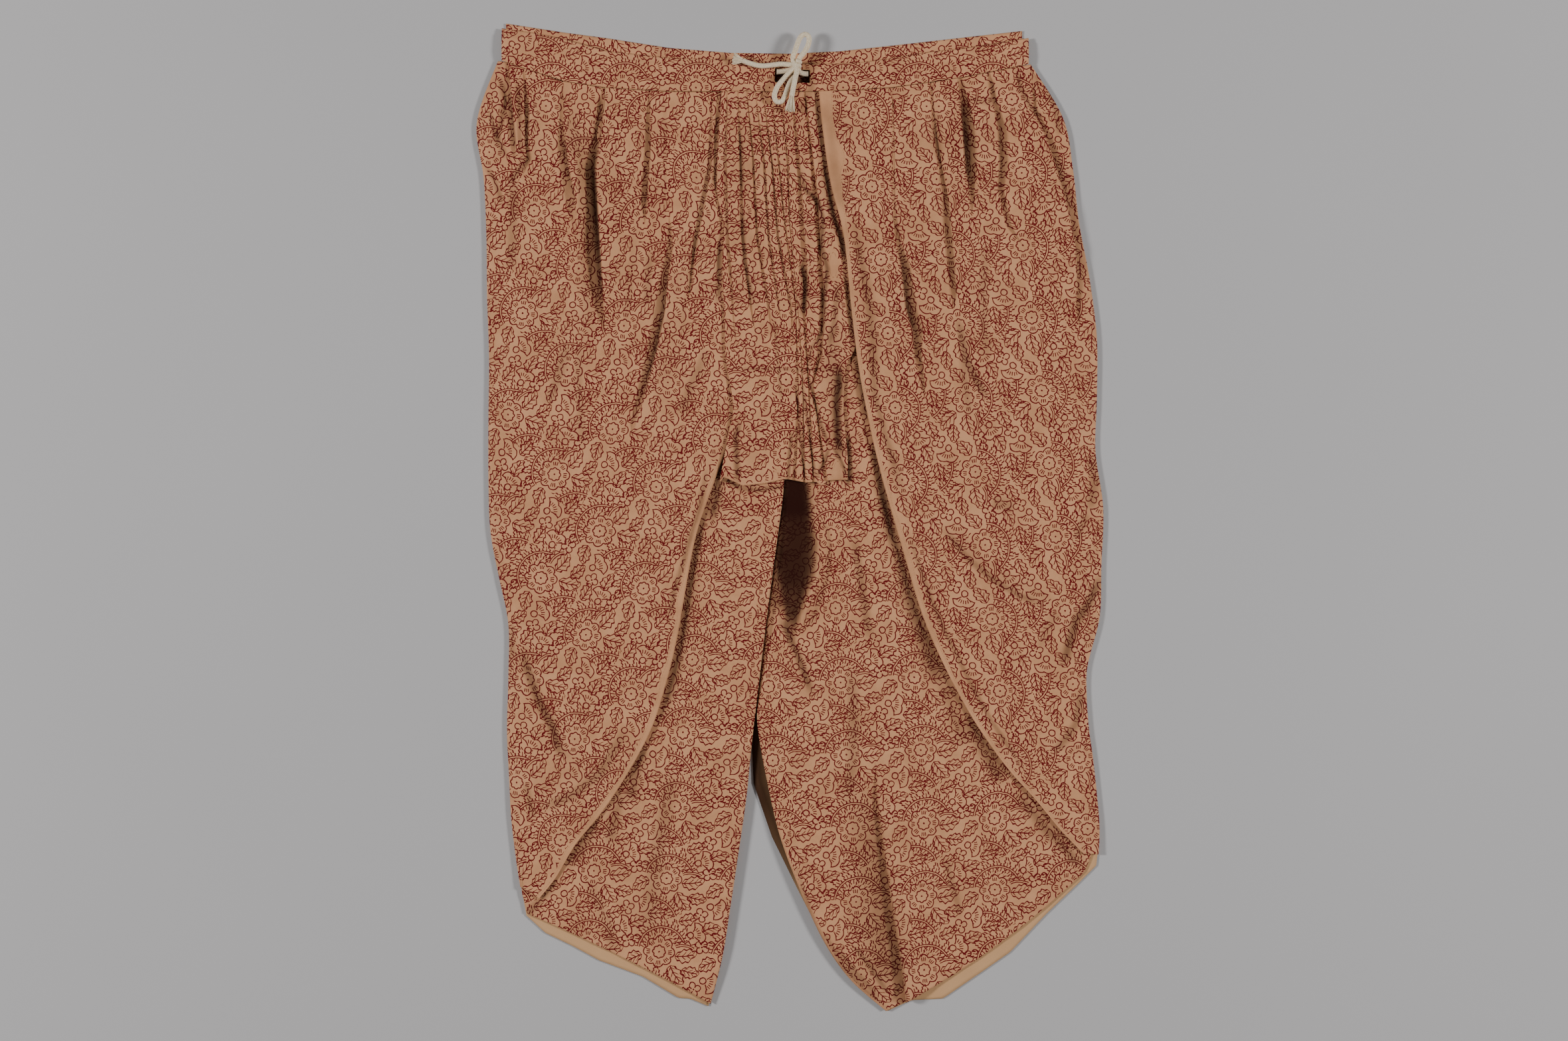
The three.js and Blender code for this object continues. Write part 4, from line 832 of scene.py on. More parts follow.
# ---- finishes -----------------------------------------------------------------------------------------
class Nodes:
    """Short ways to add shader nodes to a material."""

    def __init__(self, material: Material) -> None:
        """Start an empty node tree."""
        material.use_nodes = True
        self.tree = material.node_tree
        self.tree.nodes.clear()

    def add(self, kind: str, **settings: object) -> bpy.types.Node:
        """Add a node with its own settings."""
        node = self.tree.nodes.new(kind)
        for key, value in settings.items():
            setattr(node, key, value)
        return node

    def link(self, source: object, socket: object) -> None:
        """Link a socket, or set it where the source is a number or a colour."""
        if isinstance(source, Socket):
            self.tree.links.new(source, socket)
        else:
            socket.default_value = source

    def math(self, operation: str, *values: object) -> Socket:
        """Work out a number from others."""
        node = self.add("ShaderNodeMath", operation=operation)
        for socket, value in zip(node.inputs, values):
            self.link(value, socket)
        return node.outputs[0]

    def vector(self, operation: str, *values: object) -> Socket:
        """Work out a vector from others."""
        node = self.add("ShaderNodeVectorMath", operation=operation)
        sockets = (node.inputs["Vector"], node.inputs["Scale"]) if operation == "SCALE" else node.inputs
        for socket, value in zip(sockets, values):
            self.link(value, socket)
        return node.outputs["Vector"]

    def turned(self, vector: object, angle: float) -> Socket:
        """Turn a vector about the z axis."""
        node = self.add("ShaderNodeVectorRotate", rotation_type="Z_AXIS")
        self.link(vector, node.inputs["Vector"])
        self.link(angle, node.inputs["Angle"])
        return node.outputs[0]

    def split(self, vector: object) -> tuple[Socket, ...]:
        """Split a vector into its x and y."""
        node = self.add("ShaderNodeSeparateXYZ")
        self.link(vector, node.inputs[0])
        return node.outputs[0], node.outputs[1]

    def noise(self, vector: object, scale: float, detail: float = 2.0, rough: float = 0.5) -> Socket:
        """Add a noise of a given scale."""
        node = self.add("ShaderNodeTexNoise")
        for name, number in (("Scale", scale), ("Detail", detail), ("Roughness", rough), ("Vector", vector)):
            self.link(number, node.inputs[name])
        return node.outputs["Fac"]

    def place(self) -> Socket:
        """Place on the piece, in metres."""
        return self.add("ShaderNodeTexCoord").outputs["Object"]

    def ramp(self, value: object, low: float, high: float, to_low: float = 0.0,
             to_high: float = 1.0) -> Socket:
        """Map a range of numbers to another, smoothly."""
        node = self.add("ShaderNodeMapRange", interpolation_type="SMOOTHSTEP")
        for socket, number in zip(node.inputs, (value, low, high, to_low, to_high)):
            self.link(number, socket)
        return node.outputs[0]

    def mix(self, share: object, a: object, b: object) -> Socket:
        """Mix two colours."""
        node = self.add("ShaderNodeMix", data_type="RGBA")
        for name, source in (("Factor", share), ("A", a), ("B", b)):
            self.link(source, node.inputs[name])
        return node.outputs["Result"]

    def finish(self, colour: object, rough: float, specular: float, height: Socket | None = None,
               strength: float = 0.0, depth: float = 0.0) -> None:
        """End the material with a matt surface.

        Args:
            colour: Its colour.
            rough: Its roughness.
            specular: Its specular level.
            height: Relief of its bumps, if it has any.
            strength: Strength of the bumps.
            depth: Depth of the bumps, in metres.
        """
        shader = self.add("ShaderNodeBsdfPrincipled")
        for name, source in (("Base Color", colour), ("Roughness", rough), ("Specular IOR Level", specular)):
            self.link(source, shader.inputs[name])
        if height is not None:
            bump = self.add("ShaderNodeBump")
            for name, source in (("Strength", strength), ("Distance", depth), ("Height", height)):
                self.link(source, bump.inputs[name])
            self.link(bump.outputs[0], shader.inputs["Normal"])
        self.link(shader.outputs[0], self.add("ShaderNodeOutputMaterial").inputs[0])


class Pen:
    """Draws the lines of the block print with shader nodes; places and sizes are in mm on the cloth."""

    def __init__(self, nodes: Nodes, place: Socket, repeat: float, line: float) -> None:
        """Keep the place on the cloth, the size of the repeat and half the width of a line."""
        self.nodes, self.place, self.repeat, self.line = nodes, place, repeat, line
        self.ink: Socket | None = None

    def m(self, operation: str, *values: Value) -> Socket:
        """Work out a number."""
        return self.nodes.math(operation, *values)

    def at(self, x: float, y: float, turn: float) -> tuple[Socket, Socket]:
        """Coordinates about a point of the repeat, turned by degrees."""
        half = self.repeat / 2
        moved = self.nodes.vector("SUBTRACT", self.place, (x, y, 0.0))
        moved = self.nodes.vector("WRAP", moved, (half, half, half), (-half, -half, -half))
        return self.nodes.split(self.nodes.turned(moved, -math.radians(turn)))

    def polar(self, x: float, y: float, turn: float) -> tuple[Socket, Socket]:
        """Distance and angle about a point of the repeat."""
        x, y = self.at(x, y, turn)
        return self.length(x, y), self.m("ARCTAN2", y, x)

    def length(self, x: Value, y: Value) -> Socket:
        """Length of a step of x and y."""
        return self.m("SQRT", self.m("MULTIPLY_ADD", x, x, self.m("MULTIPLY", y, y)))

    def near(self, value: Value, target: Value, reach: float | None = None) -> Socket:
        """Give 1 where a value is within reach of a target, half a line if no reach is given."""
        return self.m("COMPARE", value, target, self.line if reach is None else reach)

    def both(self, *masks: Socket) -> Socket:
        """Give 1 where all of the masks do."""
        made = masks[0]
        for mask in masks[1:]:
            made = self.m("MULTIPLY", made, mask)
        return made

    def draw(self, mask: Socket) -> None:
        """Add a mask to the ink."""
        self.ink = mask if self.ink is None else self.m("MAXIMUM", self.ink, mask)

    def wrap(self, value: Value, step: float) -> Socket:
        """Fold a value into one step, about 0."""
        return self.m("WRAP", value, step / 2, -step / 2)

    def petals(self, x: float, y: float, turn: float, count: int) -> tuple[Socket, ...]:
        """Distance and angle in the petal that a place is in, and its x and y along that petal."""
        far, angle = self.polar(x, y, turn)
        fold = self.wrap(angle, 2 * math.pi / count)
        return far, fold, *(self.m("MULTIPLY", far, self.m(wave, fold)) for wave in ("COSINE", "SINE"))

    def double_arc(self, x: float, y: float, turn: float, radius: float,
                   half_angle: float) -> tuple[Socket, ...]:
        """Draw a double line on an arc; give distance, angle, the step out of the arc and its mask."""
        far, angle = self.polar(x, y, turn)
        out, on_arc = self.m("SUBTRACT", far, radius), self.near(angle, 0.0, half_angle)
        self.draw(self.both(self.near(self.m("ABSOLUTE", out), 0.95, self.line * 0.8), on_arc))
        return far, angle, out, on_arc

    def rosette(self, x: float, y: float, turn: float, size: float) -> None:
        """Draw an open flower of eight round petals with rays, a lobed ring and a dot."""
        far, fold, px, py = self.petals(x, y, turn, 8)
        for centre, radius, cusp in ((0.70, 0.30, 0.735), (0.29, 0.125, 0.305)):
            petal = self.length(self.m("SUBTRACT", px, centre * size), py)
            self.draw(self.both(self.near(petal, radius * size), self.m("GREATER_THAN", px, cusp * size)))
        self.draw(self.m("LESS_THAN", far, 0.06 * size))
        step = math.radians(9.5)
        aside = self.m("MULTIPLY", self.wrap(fold, step), far)
        self.draw(self.both(self.near(aside, 0.0, self.line * 0.8), self.near(far, 0.70 * size, 0.12 * size),
                            self.near(fold, 0.0, 1.5 * step)))

    def vine(self, x: float, y: float, turn: float, radius: float, half_angle: float, leaf: float,
             pace: float) -> None:
        """Draw a double-lined stem on an arc, with small toothed leaves on both of its sides."""
        far, angle, out, on_arc = self.double_arc(x, y, turn, radius, half_angle)
        slant = self.m("MULTIPLY_ADD", self.m("GREATER_THAN", out, 0.0), pace / radius / 2, angle)
        up = self.m("DIVIDE", self.m("SUBTRACT", self.m("ABSOLUTE", out), 0.9), leaf)
        beside = self.m("MULTIPLY_ADD", self.m("MULTIPLY", up, up), -0.36 * leaf,
                        self.m("MULTIPLY", self.wrap(slant, pace / radius), far))
        hump = self.m("MULTIPLY_ADD", self.m("MULTIPLY", up, up), -0.3 * pace, 0.3 * pace)
        step = self.m("FRACT", self.m("MULTIPLY", up, 2.6))
        teeth = self.m("MINIMUM", self.m("MULTIPLY", step, 1.3), self.m("MULTIPLY_ADD", step, -4.0, 4.0))
        aside = self.m("ABSOLUTE", beside)
        edge = self.near(aside, self.m("MULTIPLY_ADD", teeth, 0.15 * pace, hump), self.line * 1.2)
        self.draw(self.both(edge, on_arc, self.near(up, 0.54, 0.54)))
        self.draw(self.both(self.m("LESS_THAN", aside, self.line * 0.8), on_arc, self.near(up, 0.26, 0.26)))

    def leaf(self, x: float, y: float, turn: float, length: float, width: float, bend: float) -> None:
        """Draw a broad curved leaf with a few teeth, a midrib and side veins."""
        x, y = self.at(x, y, turn)
        y = self.m("SUBTRACT", y, self.m("MULTIPLY", self.m("MULTIPLY", x, x), bend))
        aside = self.m("ABSOLUTE", y)
        hump = self.m("MULTIPLY", x, self.m("SUBTRACT", length, x))
        teeth = self.m("MULTIPLY", self.m("PINGPONG", self.m("ADD", x, 0.8), length / 7), 0.7)
        edge = self.m("MULTIPLY_ADD", hump, 4 * width / length / length, teeth)
        on_leaf = self.near(x, length * 0.5, length * 0.54)
        self.draw(self.both(self.near(aside, edge, self.line * 1.25), on_leaf))
        self.draw(self.both(self.m("LESS_THAN", aside, self.line), self.near(x, length * 0.4, length * 0.42)))
        vein = self.m("FLOORED_MODULO", self.m("MULTIPLY_ADD", aside, -1.1, x), length / 4)
        self.draw(self.both(self.near(vein, 1.4), self.m("LESS_THAN", aside, self.m("MULTIPLY", edge, 0.66)),
                            on_leaf))

    def bell(self, x: float, y: float, turn: float, size: float) -> None:
        """Draw a flower from the side: a ring, a spread cup with a scalloped rim, and rays in it."""
        far, angle = self.polar(x, y, turn)
        spread = self.m("ABSOLUTE", angle)
        self.draw(self.near(far, 0.2 * size))
        scallop = self.m("ABSOLUTE", self.m("SINE", self.m("MULTIPLY", angle, 3.2)))
        rim = self.m("MULTIPLY_ADD", scallop, 0.13 * size, 0.84 * size)
        flare = self.m("MULTIPLY_ADD", far, 0.62 / size, 0.46)
        self.draw(self.both(self.near(far, rim), self.m("LESS_THAN", spread, flare)))
        aside = self.m("MULTIPLY", self.m("SUBTRACT", spread, flare), far)
        self.draw(self.both(self.near(aside, 0.0), self.near(far, 0.58 * size, 0.3 * size)))
        rays = self.m("MULTIPLY", self.wrap(angle, 0.26), far)
        self.draw(self.both(self.near(rays, 0.0, self.line * 0.8), self.near(far, 0.56 * size, 0.12 * size),
                            self.m("LESS_THAN", spread, 0.8)))

    def blossom(self, x: float, y: float, turn: float, size: float) -> None:
        """Draw a small flower of four petals."""
        far, _, px, py = self.petals(x, y, turn, 4)
        petal = self.length(self.m("SUBTRACT", px, 0.58 * size), py)
        self.draw(self.both(self.near(petal, 0.4 * size, self.line * 0.9),
                            self.m("GREATER_THAN", far, 0.3 * size)))
        self.draw(self.m("LESS_THAN", far, 0.13 * size))

    def stem(self, x: float, y: float, turn: float, radius: float, half_angle: float, teeth: float) -> None:
        """Draw a double-lined stem on an arc, with teeth on its outer side."""
        _, angle, out, on_arc = self.double_arc(x, y, turn, radius, half_angle)
        saw = self.m("PINGPONG", self.m("MULTIPLY", angle, radius), teeth / 2)
        self.draw(self.both(self.near(out, self.m("MULTIPLY_ADD", saw, 1.1, 1.9), self.line * 1.3), on_arc))

    def curl(self, x: float, y: float, turn: float, size: float) -> None:
        """Draw the open ring at the end of a tendril."""
        far, angle = self.polar(x, y, turn)
        self.draw(self.both(self.near(far, self.m("MULTIPLY_ADD", angle, 0.16 * size, size * 0.6)),
                            self.near(angle, 0.4, 2.2)))


@dataclass(frozen=True)
class Print:
    """The block print: its repeat in mm, its ink and its cloth."""

    REPEAT = 72.0

    line: float = 0.57
    cloth: Colour = (0.62, 0.308, 0.158, 1)
    cloth_worn: Colour = (0.51, 0.247, 0.124, 1)
    ink: Colour = (0.13, 0.005, 0.008, 1)
    ink_thin: Colour = (0.19, 0.018, 0.016, 1)
    thread: Colour = (0.44, 0.2, 0.1, 1)
    # The near black that the painted shade mixes the colour towards.
    painted_shade_colour: Colour = (0.022, 0.005, 0.003, 1)
    wrong: Colour = (0.61, 0.36, 0.18, 1)
    wrong_worn: Colour = (0.53, 0.3, 0.15, 1)
    wobble: tuple[float, float] = (0.22, 1.5)  # how fast and how far the drawn lines stray
    stitch: tuple[float, float] = (0.9, 0.2)  # how far inside the margin its thread runs, and half its width
    dash: tuple[float, float] = (2.6, 1.7)  # the pitch of its stitches, and how much of it shows
    rough: float = 0.9
    specular: float = 0.08
    bumps: tuple[float, float] = (0.45, 0.0006)  # strength, and depth in metres

    def motifs(self, pen: Pen) -> Socket:
        """Lay out the flowers, leaves and stems of one repeat."""
        pen.rosette(0, 0, 0, 15.2)
        pen.vine(2.5, 0.5, 100, 23.4, 1.28, 8.8, 9.4)
        pen.vine(-10, -47, 60, 25, 0.62, 8.2, 9.4)
        pen.stem(24, -9, 88, 17, 0.55, 5.0)
        for bell in ((29, 18.5, 20, 15), (-27, -24, -14, 15)):
            pen.bell(*bell)
        for leaf in ((12, -13, -64, 20, 5.6, 0.012), (16, -3, -2, 20, 5.4, 0.012),
                     (24, -16, -18, 16, 4.8, 0.012), (-32, 23, 36, 17, 5.0, -0.014),
                     (-17, -4, 200, 17, 5.4, 0.014), (17, 31, 8, 17, 4.8, 0.012),
                     (-14, -36.5, 2, 18, 4.0, 0.008)):
            pen.leaf(*leaf)
        pen.blossom(-31, 8, 60, 7.0)
        pen.blossom(37, -33, 20, 7.0)
        pen.curl(-22, 12, 20, 3.4)
        return pen.ink

    def material(self) -> Material:
        """Make the printed cotton."""
        made = bpy.data.materials.new("printed_cotton")
        nodes = Nodes(made)
        place = nodes.vector("SCALE", nodes.add("ShaderNodeUVMap", uv_map="print").outputs[0], self.REPEAT)
        pace, reach = self.wobble
        wobble = nodes.add("ShaderNodeTexNoise")
        wobble.inputs["Scale"].default_value = pace
        nodes.link(place, wobble.inputs["Vector"])
        shaken = nodes.vector("SUBTRACT", wobble.outputs["Color"], (0.5, 0.5, 0.5))
        drawn = nodes.vector("ADD", place, nodes.vector("SCALE", shaken, reach))
        ink = self.motifs(Pen(nodes, drawn, self.REPEAT, self.line))
        margin = nodes.add("ShaderNodeAttribute", attribute_name="margin").outputs["Fac"]
        ink = nodes.math("MULTIPLY", ink, nodes.ramp(margin, -1.0, 0.0, 1.0, 0.0))
        worn = nodes.noise(place, 0.035, 4, 0.6)
        cloth = nodes.mix(nodes.ramp(worn, 0.35, 0.7), self.cloth, self.cloth_worn)
        along, _ = nodes.split(place)
        pitch, shown = self.dash
        dash = nodes.math("LESS_THAN", nodes.math("FLOORED_MODULO", along, pitch), shown)
        stitch = nodes.math("MULTIPLY", nodes.math("COMPARE", margin, *self.stitch), dash)
        cloth = nodes.mix(stitch, cloth, self.thread)
        thin = nodes.ramp(nodes.noise(place, 0.9, 3), 0.5, 0.8)
        colour = nodes.mix(ink, cloth, nodes.mix(thin, self.ink, self.ink_thin))
        self.surface(nodes, colour)
        return made

    def wrong_side(self) -> Material:
        """Make the plain under side of the printed cotton."""
        made = bpy.data.materials.new("plain_cotton")
        nodes = Nodes(made)
        self.surface(nodes, nodes.mix(nodes.noise(nodes.place(), 30, 4), self.wrong, self.wrong_worn))
        return made

    def surface(self, nodes: Nodes, colour: Socket) -> None:
        """Add the shader of the cotton, with its weave; the shade attribute mixes its colour towards a near
        black as painted shade in deep folds.
        """
        shade = nodes.add("ShaderNodeAttribute", attribute_name="shade").outputs["Fac"]
        place = nodes.place()
        weave = nodes.math("MULTIPLY", nodes.noise(place, 1400, 2), 0.35)
        height = nodes.math("MULTIPLY_ADD", nodes.noise(place, 120, 3), 1.6, weave)
        # Painted shade: the shade attribute mixes the colour towards a near black.
        nodes.finish(nodes.mix(shade, colour, self.painted_shade_colour), self.rough, self.specular, height, *self.bumps)


@dataclass(frozen=True)
class CordCotton:
    """The undyed cotton of the drawstring, with the knit of its cover."""

    colour: Colour = (0.86, 0.73, 0.54, 1)
    shade: Colour = (0.64, 0.51, 0.35, 1)

    def material(self) -> Material:
        """Make the cord's cotton."""
        made = bpy.data.materials.new("cord_cotton")
        nodes = Nodes(made)
        fibre = nodes.noise(nodes.place(), 900, 3)
        colour = nodes.mix(nodes.ramp(fibre, 0.35, 0.75), self.shade, self.colour)
        nodes.finish(colour, 0.95, 0.15, fibre, 0.5, 0.0005)
        return made


# ---- waistband ----------------------------------------------------------------------------------------
@dataclass
class FrontBand:
    """The front half of the waistband, which bulges over the pieces sewn into it and has a slit."""

    STATIONS = np.array([
        (-282.5, 447.6, 479.5), (-253.9, 438.0, 475.4), (-221.3, 427.4, 468.9), (-179.6, 421.0, 457.1),
        (-119.6, 417.4, 450.6), (-59.6, 417.3, 448.6), (-14.6, 417.3, 446.7), (19.3, 417.3, 444.1),
        (34.9, 417.6, 444.3), (70.2, 419.2, 446.0), (100.1, 421.3, 449.9), (138.6, 426.6, 456.5),
        (169.9, 431.4, 459.7), (203.2, 438.0, 464.9), (234.0, 444.1, 470.0),
    ])
    lines: tuple[float, ...] = (0, 0.14, 0.3, 0.78, 0.9, 1)
    heights: tuple[float, ...] = (6.0, 7.0, 7.9, 6.8, 5.4, 4.2)
    side_drop: tuple[float, ...] = (0.8, 1.4, 1.9, 1.4, 0.9, 0.6)
    slit: tuple[float, float] = (-14.6, 19.3)
    slit_lines: tuple[float, float] = (0.78, 0.3)  # its upper and lower edge, as shares of the band
    rows: tuple[int, int, int] = (6, 9, 8)  # of the mesh: above the slit, beside it and below it
    stitch: tuple[float, float, float] = (0.86, 0.03, 0.45)  # place, half width and depth of its groove
    gathers: tuple[float, float] = (0.45, 9)  # depth and size of the puckers at the seam
    swell: tuple[float, float] = (0.3, 26)  # the same for the band's unevenness
    cell: float = 1.5
    thickness: float = 1.0
    print_start: tuple[float, float] = (20, 11)
    cut: Cut = Cut(0.52, 0.034, 0.0165)

    @classmethod
    def seam(cls, x: Array) -> Array:
        """Height of the band's seam across the garment."""
        return np.interp(x, cls.STATIONS[:, 0], cls.STATIONS[:, 1])

    def build(self, finish: Material, wrong_side: Material) -> Piece:
        """Make the band's mesh and dress it."""
        left, right = self.STATIONS[0, 0], self.STATIONS[-1, 0]
        stops = [left, *self.slit, right]
        x = np.concatenate([np.linspace(a, b, max(2, round((b - a) / self.cell)), endpoint=False)
                            for a, b in zip(stops, stops[1:])] + [[right]])
        upper, lower = self.slit_lines
        share = np.concatenate([np.linspace(a, b, rows, endpoint=b == 0)
                                for a, b, rows in zip((1, upper, lower), (upper, lower, 0), self.rows)])
        rows = len(share)
        seam, edge = (np.interp(x, self.STATIONS[:, 0], self.STATIONS[:, k])[None, :] for k in (1, 2))
        v = share[:, None]
        y = seam + (edge - seam) * v
        half = (right - left) / 2
        aside = smooth((np.abs(x - left - half) / half - 0.55) / 0.45)[None, :]
        z = np.interp(v, self.lines, self.heights) - aside * np.interp(v, self.lines, self.side_drop)
        grid_x = np.repeat(x[None, :], rows, axis=0)
        gathers, swell = self.gathers, self.swell
        pucker = (gathers[0] * soft_noise(grid_x, y * 0.3, gathers[1], 51) * (1 - v)
                  + swell[0] * soft_noise(grid_x, y, swell[1], 53))
        place, wide, deep = self.stitch
        z = z + pucker * smooth(v / 0.1) * smooth((1 - v) / 0.1) - deep * np.exp(-((v - place) / wide) ** 2)
        hole = [int(np.argmin(abs(steps - stop)))
                for steps, stops in ((share, self.slit_lines), (x, self.slit)) for stop in stops]
        on_print = np.stack([grid_x + self.print_start[0], y + self.print_start[1]], axis=-1)
        piece = shell("waistband_front_cloth", np.stack([grid_x, y, z], axis=-1), self.thickness, on_print,
                      np.full(grid_x.shape, PRINTED), tuple(hole))
        return dressed(piece, "waistband_front", finish, wrong_side)


BACK_BAND_STATIONS = np.array([
    (-278.7, 449.3, 484.6), (-223.2, 434.9, 476.0), (-179.6, 427.1, 470.2), (-119.6, 421.9, 460.8),
    (-59.6, 419.3, 455.9), (0.4, 418.0, 455.0), (50.0, 418.8, 457.5), (100.8, 420.6, 463.0),
    (169.9, 432.3, 470.8), (227.9, 445.4, 477.3),
])
BACK_LEFT_HEM = ((-258.5, -391), (-240, -408), (-213, -421), (-187, -435), (-144, -451), (-109, -472),
                 (-98, -472.5), (-80, -480))
# How far the right half reaches past the front's inner edge, and the painted shade there, both by y
BACK_RIGHT_REACH = ((-420, 0), (-365, 3), (-313, 9), (-283, 12.5), (-255, 15), (-225, 12), (-205, 7),
                    (-160, 0))
BACK_RIGHT_PAINTED_SHADE = ((-410, 0), (-345, 0.8), (-280, 0.95), (-150, 0.95), (-100, 0))
BACK_WIDTH, BACK_LENGTH = 200, 870  # about the size of a half of the back, mm
BACK_SIDES, BACK_SEAM = (-278.0, 227.5), -3.0  # x of the sides and of the seam at the top
BACK_INSET = 0.6  # how far the back's sides lie inside the front's, mm
BACK_RIGHT_HEM = ((96, -484.6), (119, -474), (150, -472.5), (188, -446.5), (216, -427), (252, -389),
                  (284, -358.5), (300.5, -342))


@dataclass
class BackPanel:
    """A half of the back, which lies on the surface with its wrong side up; its hem shows below the front's.

    dark_left gives the share of painted shade along its left edge, by y.
    """

    name: str
    node: str
    top: Run
    left: Run
    right: Run
    hem: Run
    cut: Cut
    cells: tuple[int, int] = (55, 220)
    level: float = 1.15
    seed: int = 31
    dark_left: Run = ((0, 0), (1, 0))
    dark_reach: float = 16.0
    stitch: tuple[float, float, float] = (9, 1.6, 0.35)  # height, half width and depth of the hem's groove

    def build(self, wrong_side: Material, finish: Material) -> Piece:
        """Make the piece's mesh between its four edges and dress it."""
        across, down = self.cells
        s, t = np.linspace(0, 1, across + 1), np.linspace(0, 1, down + 1) ** 0.9
        top, hem = (along_run(edge, s)[None, :, :] for edge in (self.top, self.hem))
        left, right = (along_run(edge, t)[:, None, :] for edge in (self.left, self.right))
        s, t = s[None, :, None], t[:, None, None]
        corners = ((1 - s) * (1 - t) * top[:, :1] + s * (1 - t) * top[:, -1:]
                   + (1 - s) * t * hem[:, :1] + s * t * hem[:, -1:])
        flat = (1 - s) * left + s * right + (1 - t) * top + t * hem - corners
        x, y = flat[:, :, 0], flat[:, :, 1]
        rim = np.minimum(np.minimum(s, 1 - s) * BACK_WIDTH, np.minimum(t, 1 - t) * 800)[:, :, 0]
        z = self.level - 0.3 * np.abs(soft_noise(x, y, 30, self.seed)) * smooth(rim / 8)
        place, wide, deep = self.stitch
        z = z - deep * np.exp(-(((1 - t[:, :, 0]) * BACK_LENGTH - place) / wide) ** 2)
        # Painted shade along the left edge, by y, fading inwards.
        shade = read(self.dark_left, y) * np.exp(-((s[:, :, 0] * BACK_WIDTH / self.dark_reach) ** 2))
        piece = shell(self.name, np.stack([x, y, z], axis=-1), CLOTH_SHELL, flat,
                      np.full(x.shape, PRINTED), flat_under=0.0, shade=shade)
        return dressed(piece, self.node, wrong_side, finish)


def along_run(run: Run, places: Array) -> Array:
    """Points of a run at shares of its length."""
    points = np.array(run, dtype=float)[:, :2]
    steps = np.concatenate([[0], np.cumsum(np.linalg.norm(np.diff(points, axis=0), axis=1))])
    return np.stack([np.interp(places * steps[-1], steps, points[:, k]) for k in (0, 1)], axis=-1)


def back_panels() -> list[BackPanel]:
    """List the two halves of the back, whose edges follow the pieces in front of them."""
    tops = []
    for start, end in ((BACK_SIDES[0], BACK_SEAM - SEAM_GAP), (BACK_SEAM + SEAM_GAP, BACK_SIDES[1])):
        xs = [start, *(x for x in BACK_BAND_STATIONS[:, 0] if start + 1 < x < end - 1), end]
        ys = np.interp(xs, BACK_BAND_STATIONS[:, 0], BACK_BAND_STATIONS[:, 1]) - SEAM_GAP
        tops.append(tuple(zip(xs, ys)))
    outer_left = [(row[0] + BACK_INSET, row[1]) for row in DRAPE_LEFT_ROWS[1:]]
    outer_right = [(row[4] - BACK_INSET, row[5]) for row in DRAPE_RIGHT_ROWS[1:]]
    inner_left = [(row[4] - BACK_INSET, row[5]) for row in LEG_LEFT_ROWS[4:-1]]
    inner_right = [(row[0] + BACK_INSET - float(read(BACK_RIGHT_REACH, row[1])), row[1])
                   for row in LEG_RIGHT_ROWS[4:-1]]
    halves = (
        ("back_left", outer_left, inner_left, BACK_LEFT_HEM, Cut(0.28, 0.93, 0.2304), {}),
        ("back_right", inner_right, outer_right, BACK_RIGHT_HEM, Cut(0.32, 0.93, 0.261),
         {"seed": 37, "dark_left": BACK_RIGHT_PAINTED_SHADE}),
    )
    return [BackPanel(f"{name}_cloth", name, top, (top[0], *left, hem[0]), (top[-1], *right, hem[-1]), hem,
                      cut, **more)
            for top, (name, left, right, hem, cut, more) in zip(tops, halves)]


@dataclass
class BackBand:
    """The back half of the waistband, which lies on the surface and shows above the front half."""

    columns: int = 253
    rows: int = 18
    level: float = 1.2
    thickness: float = 1.0
    print_start: tuple[float, float] = (40, 20)
    cut: Cut = Cut(0.51, 0.0405, 0.0203)
    slit_painted_shade: float = 0.78  # share of painted shade in the slit
    slit_reach: float = 9.0  # how far that reaches past the slit's ends
    slit_top: float = 450.0  # y over which it fades

    def build(self, finish: Material, wrong_side: Material) -> Piece:
        """Make the band's mesh and dress it."""
        stations = BACK_BAND_STATIONS
        x = np.linspace(stations[0, 0], stations[-1, 0], self.columns)[None, :]
        v = np.linspace(1, 0, self.rows)[:, None]
        seam, edge = np.interp(x, *stations[:, :2].T), np.interp(x, stations[:, 0], stations[:, 2])
        y = seam + (edge - seam) * v
        x = x + 0 * v
        z = self.level - 0.25 * np.abs(soft_noise(x, y, 9, 61)) * smooth(np.minimum(v, 1 - v) / 0.1)
        on_print = np.stack([x + self.print_start[0], y + self.print_start[1]], axis=-1)
        start, end = FrontBand.slit
        beside = smooth((x - start + self.slit_reach) / 8) * smooth((end + self.slit_reach - x) / 8)
        shade = self.slit_painted_shade * beside * smooth((self.slit_top - y) / 6)
        piece = shell("waistband_back_cloth", np.stack([x, y, z], axis=-1), self.thickness, on_print,
                      np.full(x.shape, PRINTED), flat_under=0.0, shade=shade)
        return dressed(piece, "waistband_back", finish, wrong_side)


# ---- drawstring ---------------------------------------------------------------------------------------
def resampled(points: Run, step: float) -> Array:
    """Smooth curve through points, at even steps.

    Args:
        points: The points that the curve goes through.
        step: Distance between the points that are returned.

    Returns:
        Points along the curve.
    """
    table = np.array(points, dtype=float)
    fine = catmull(table, np.linspace(0, len(table) - 1, 24 * len(table)))
    run = np.concatenate([[0], np.cumsum(np.linalg.norm(np.diff(fine, axis=0), axis=1))])
    places = np.linspace(0, run[-1], max(3, round(run[-1] / step)))
    return np.stack([np.interp(places, run, fine[:, k]) for k in range(3)], axis=-1)


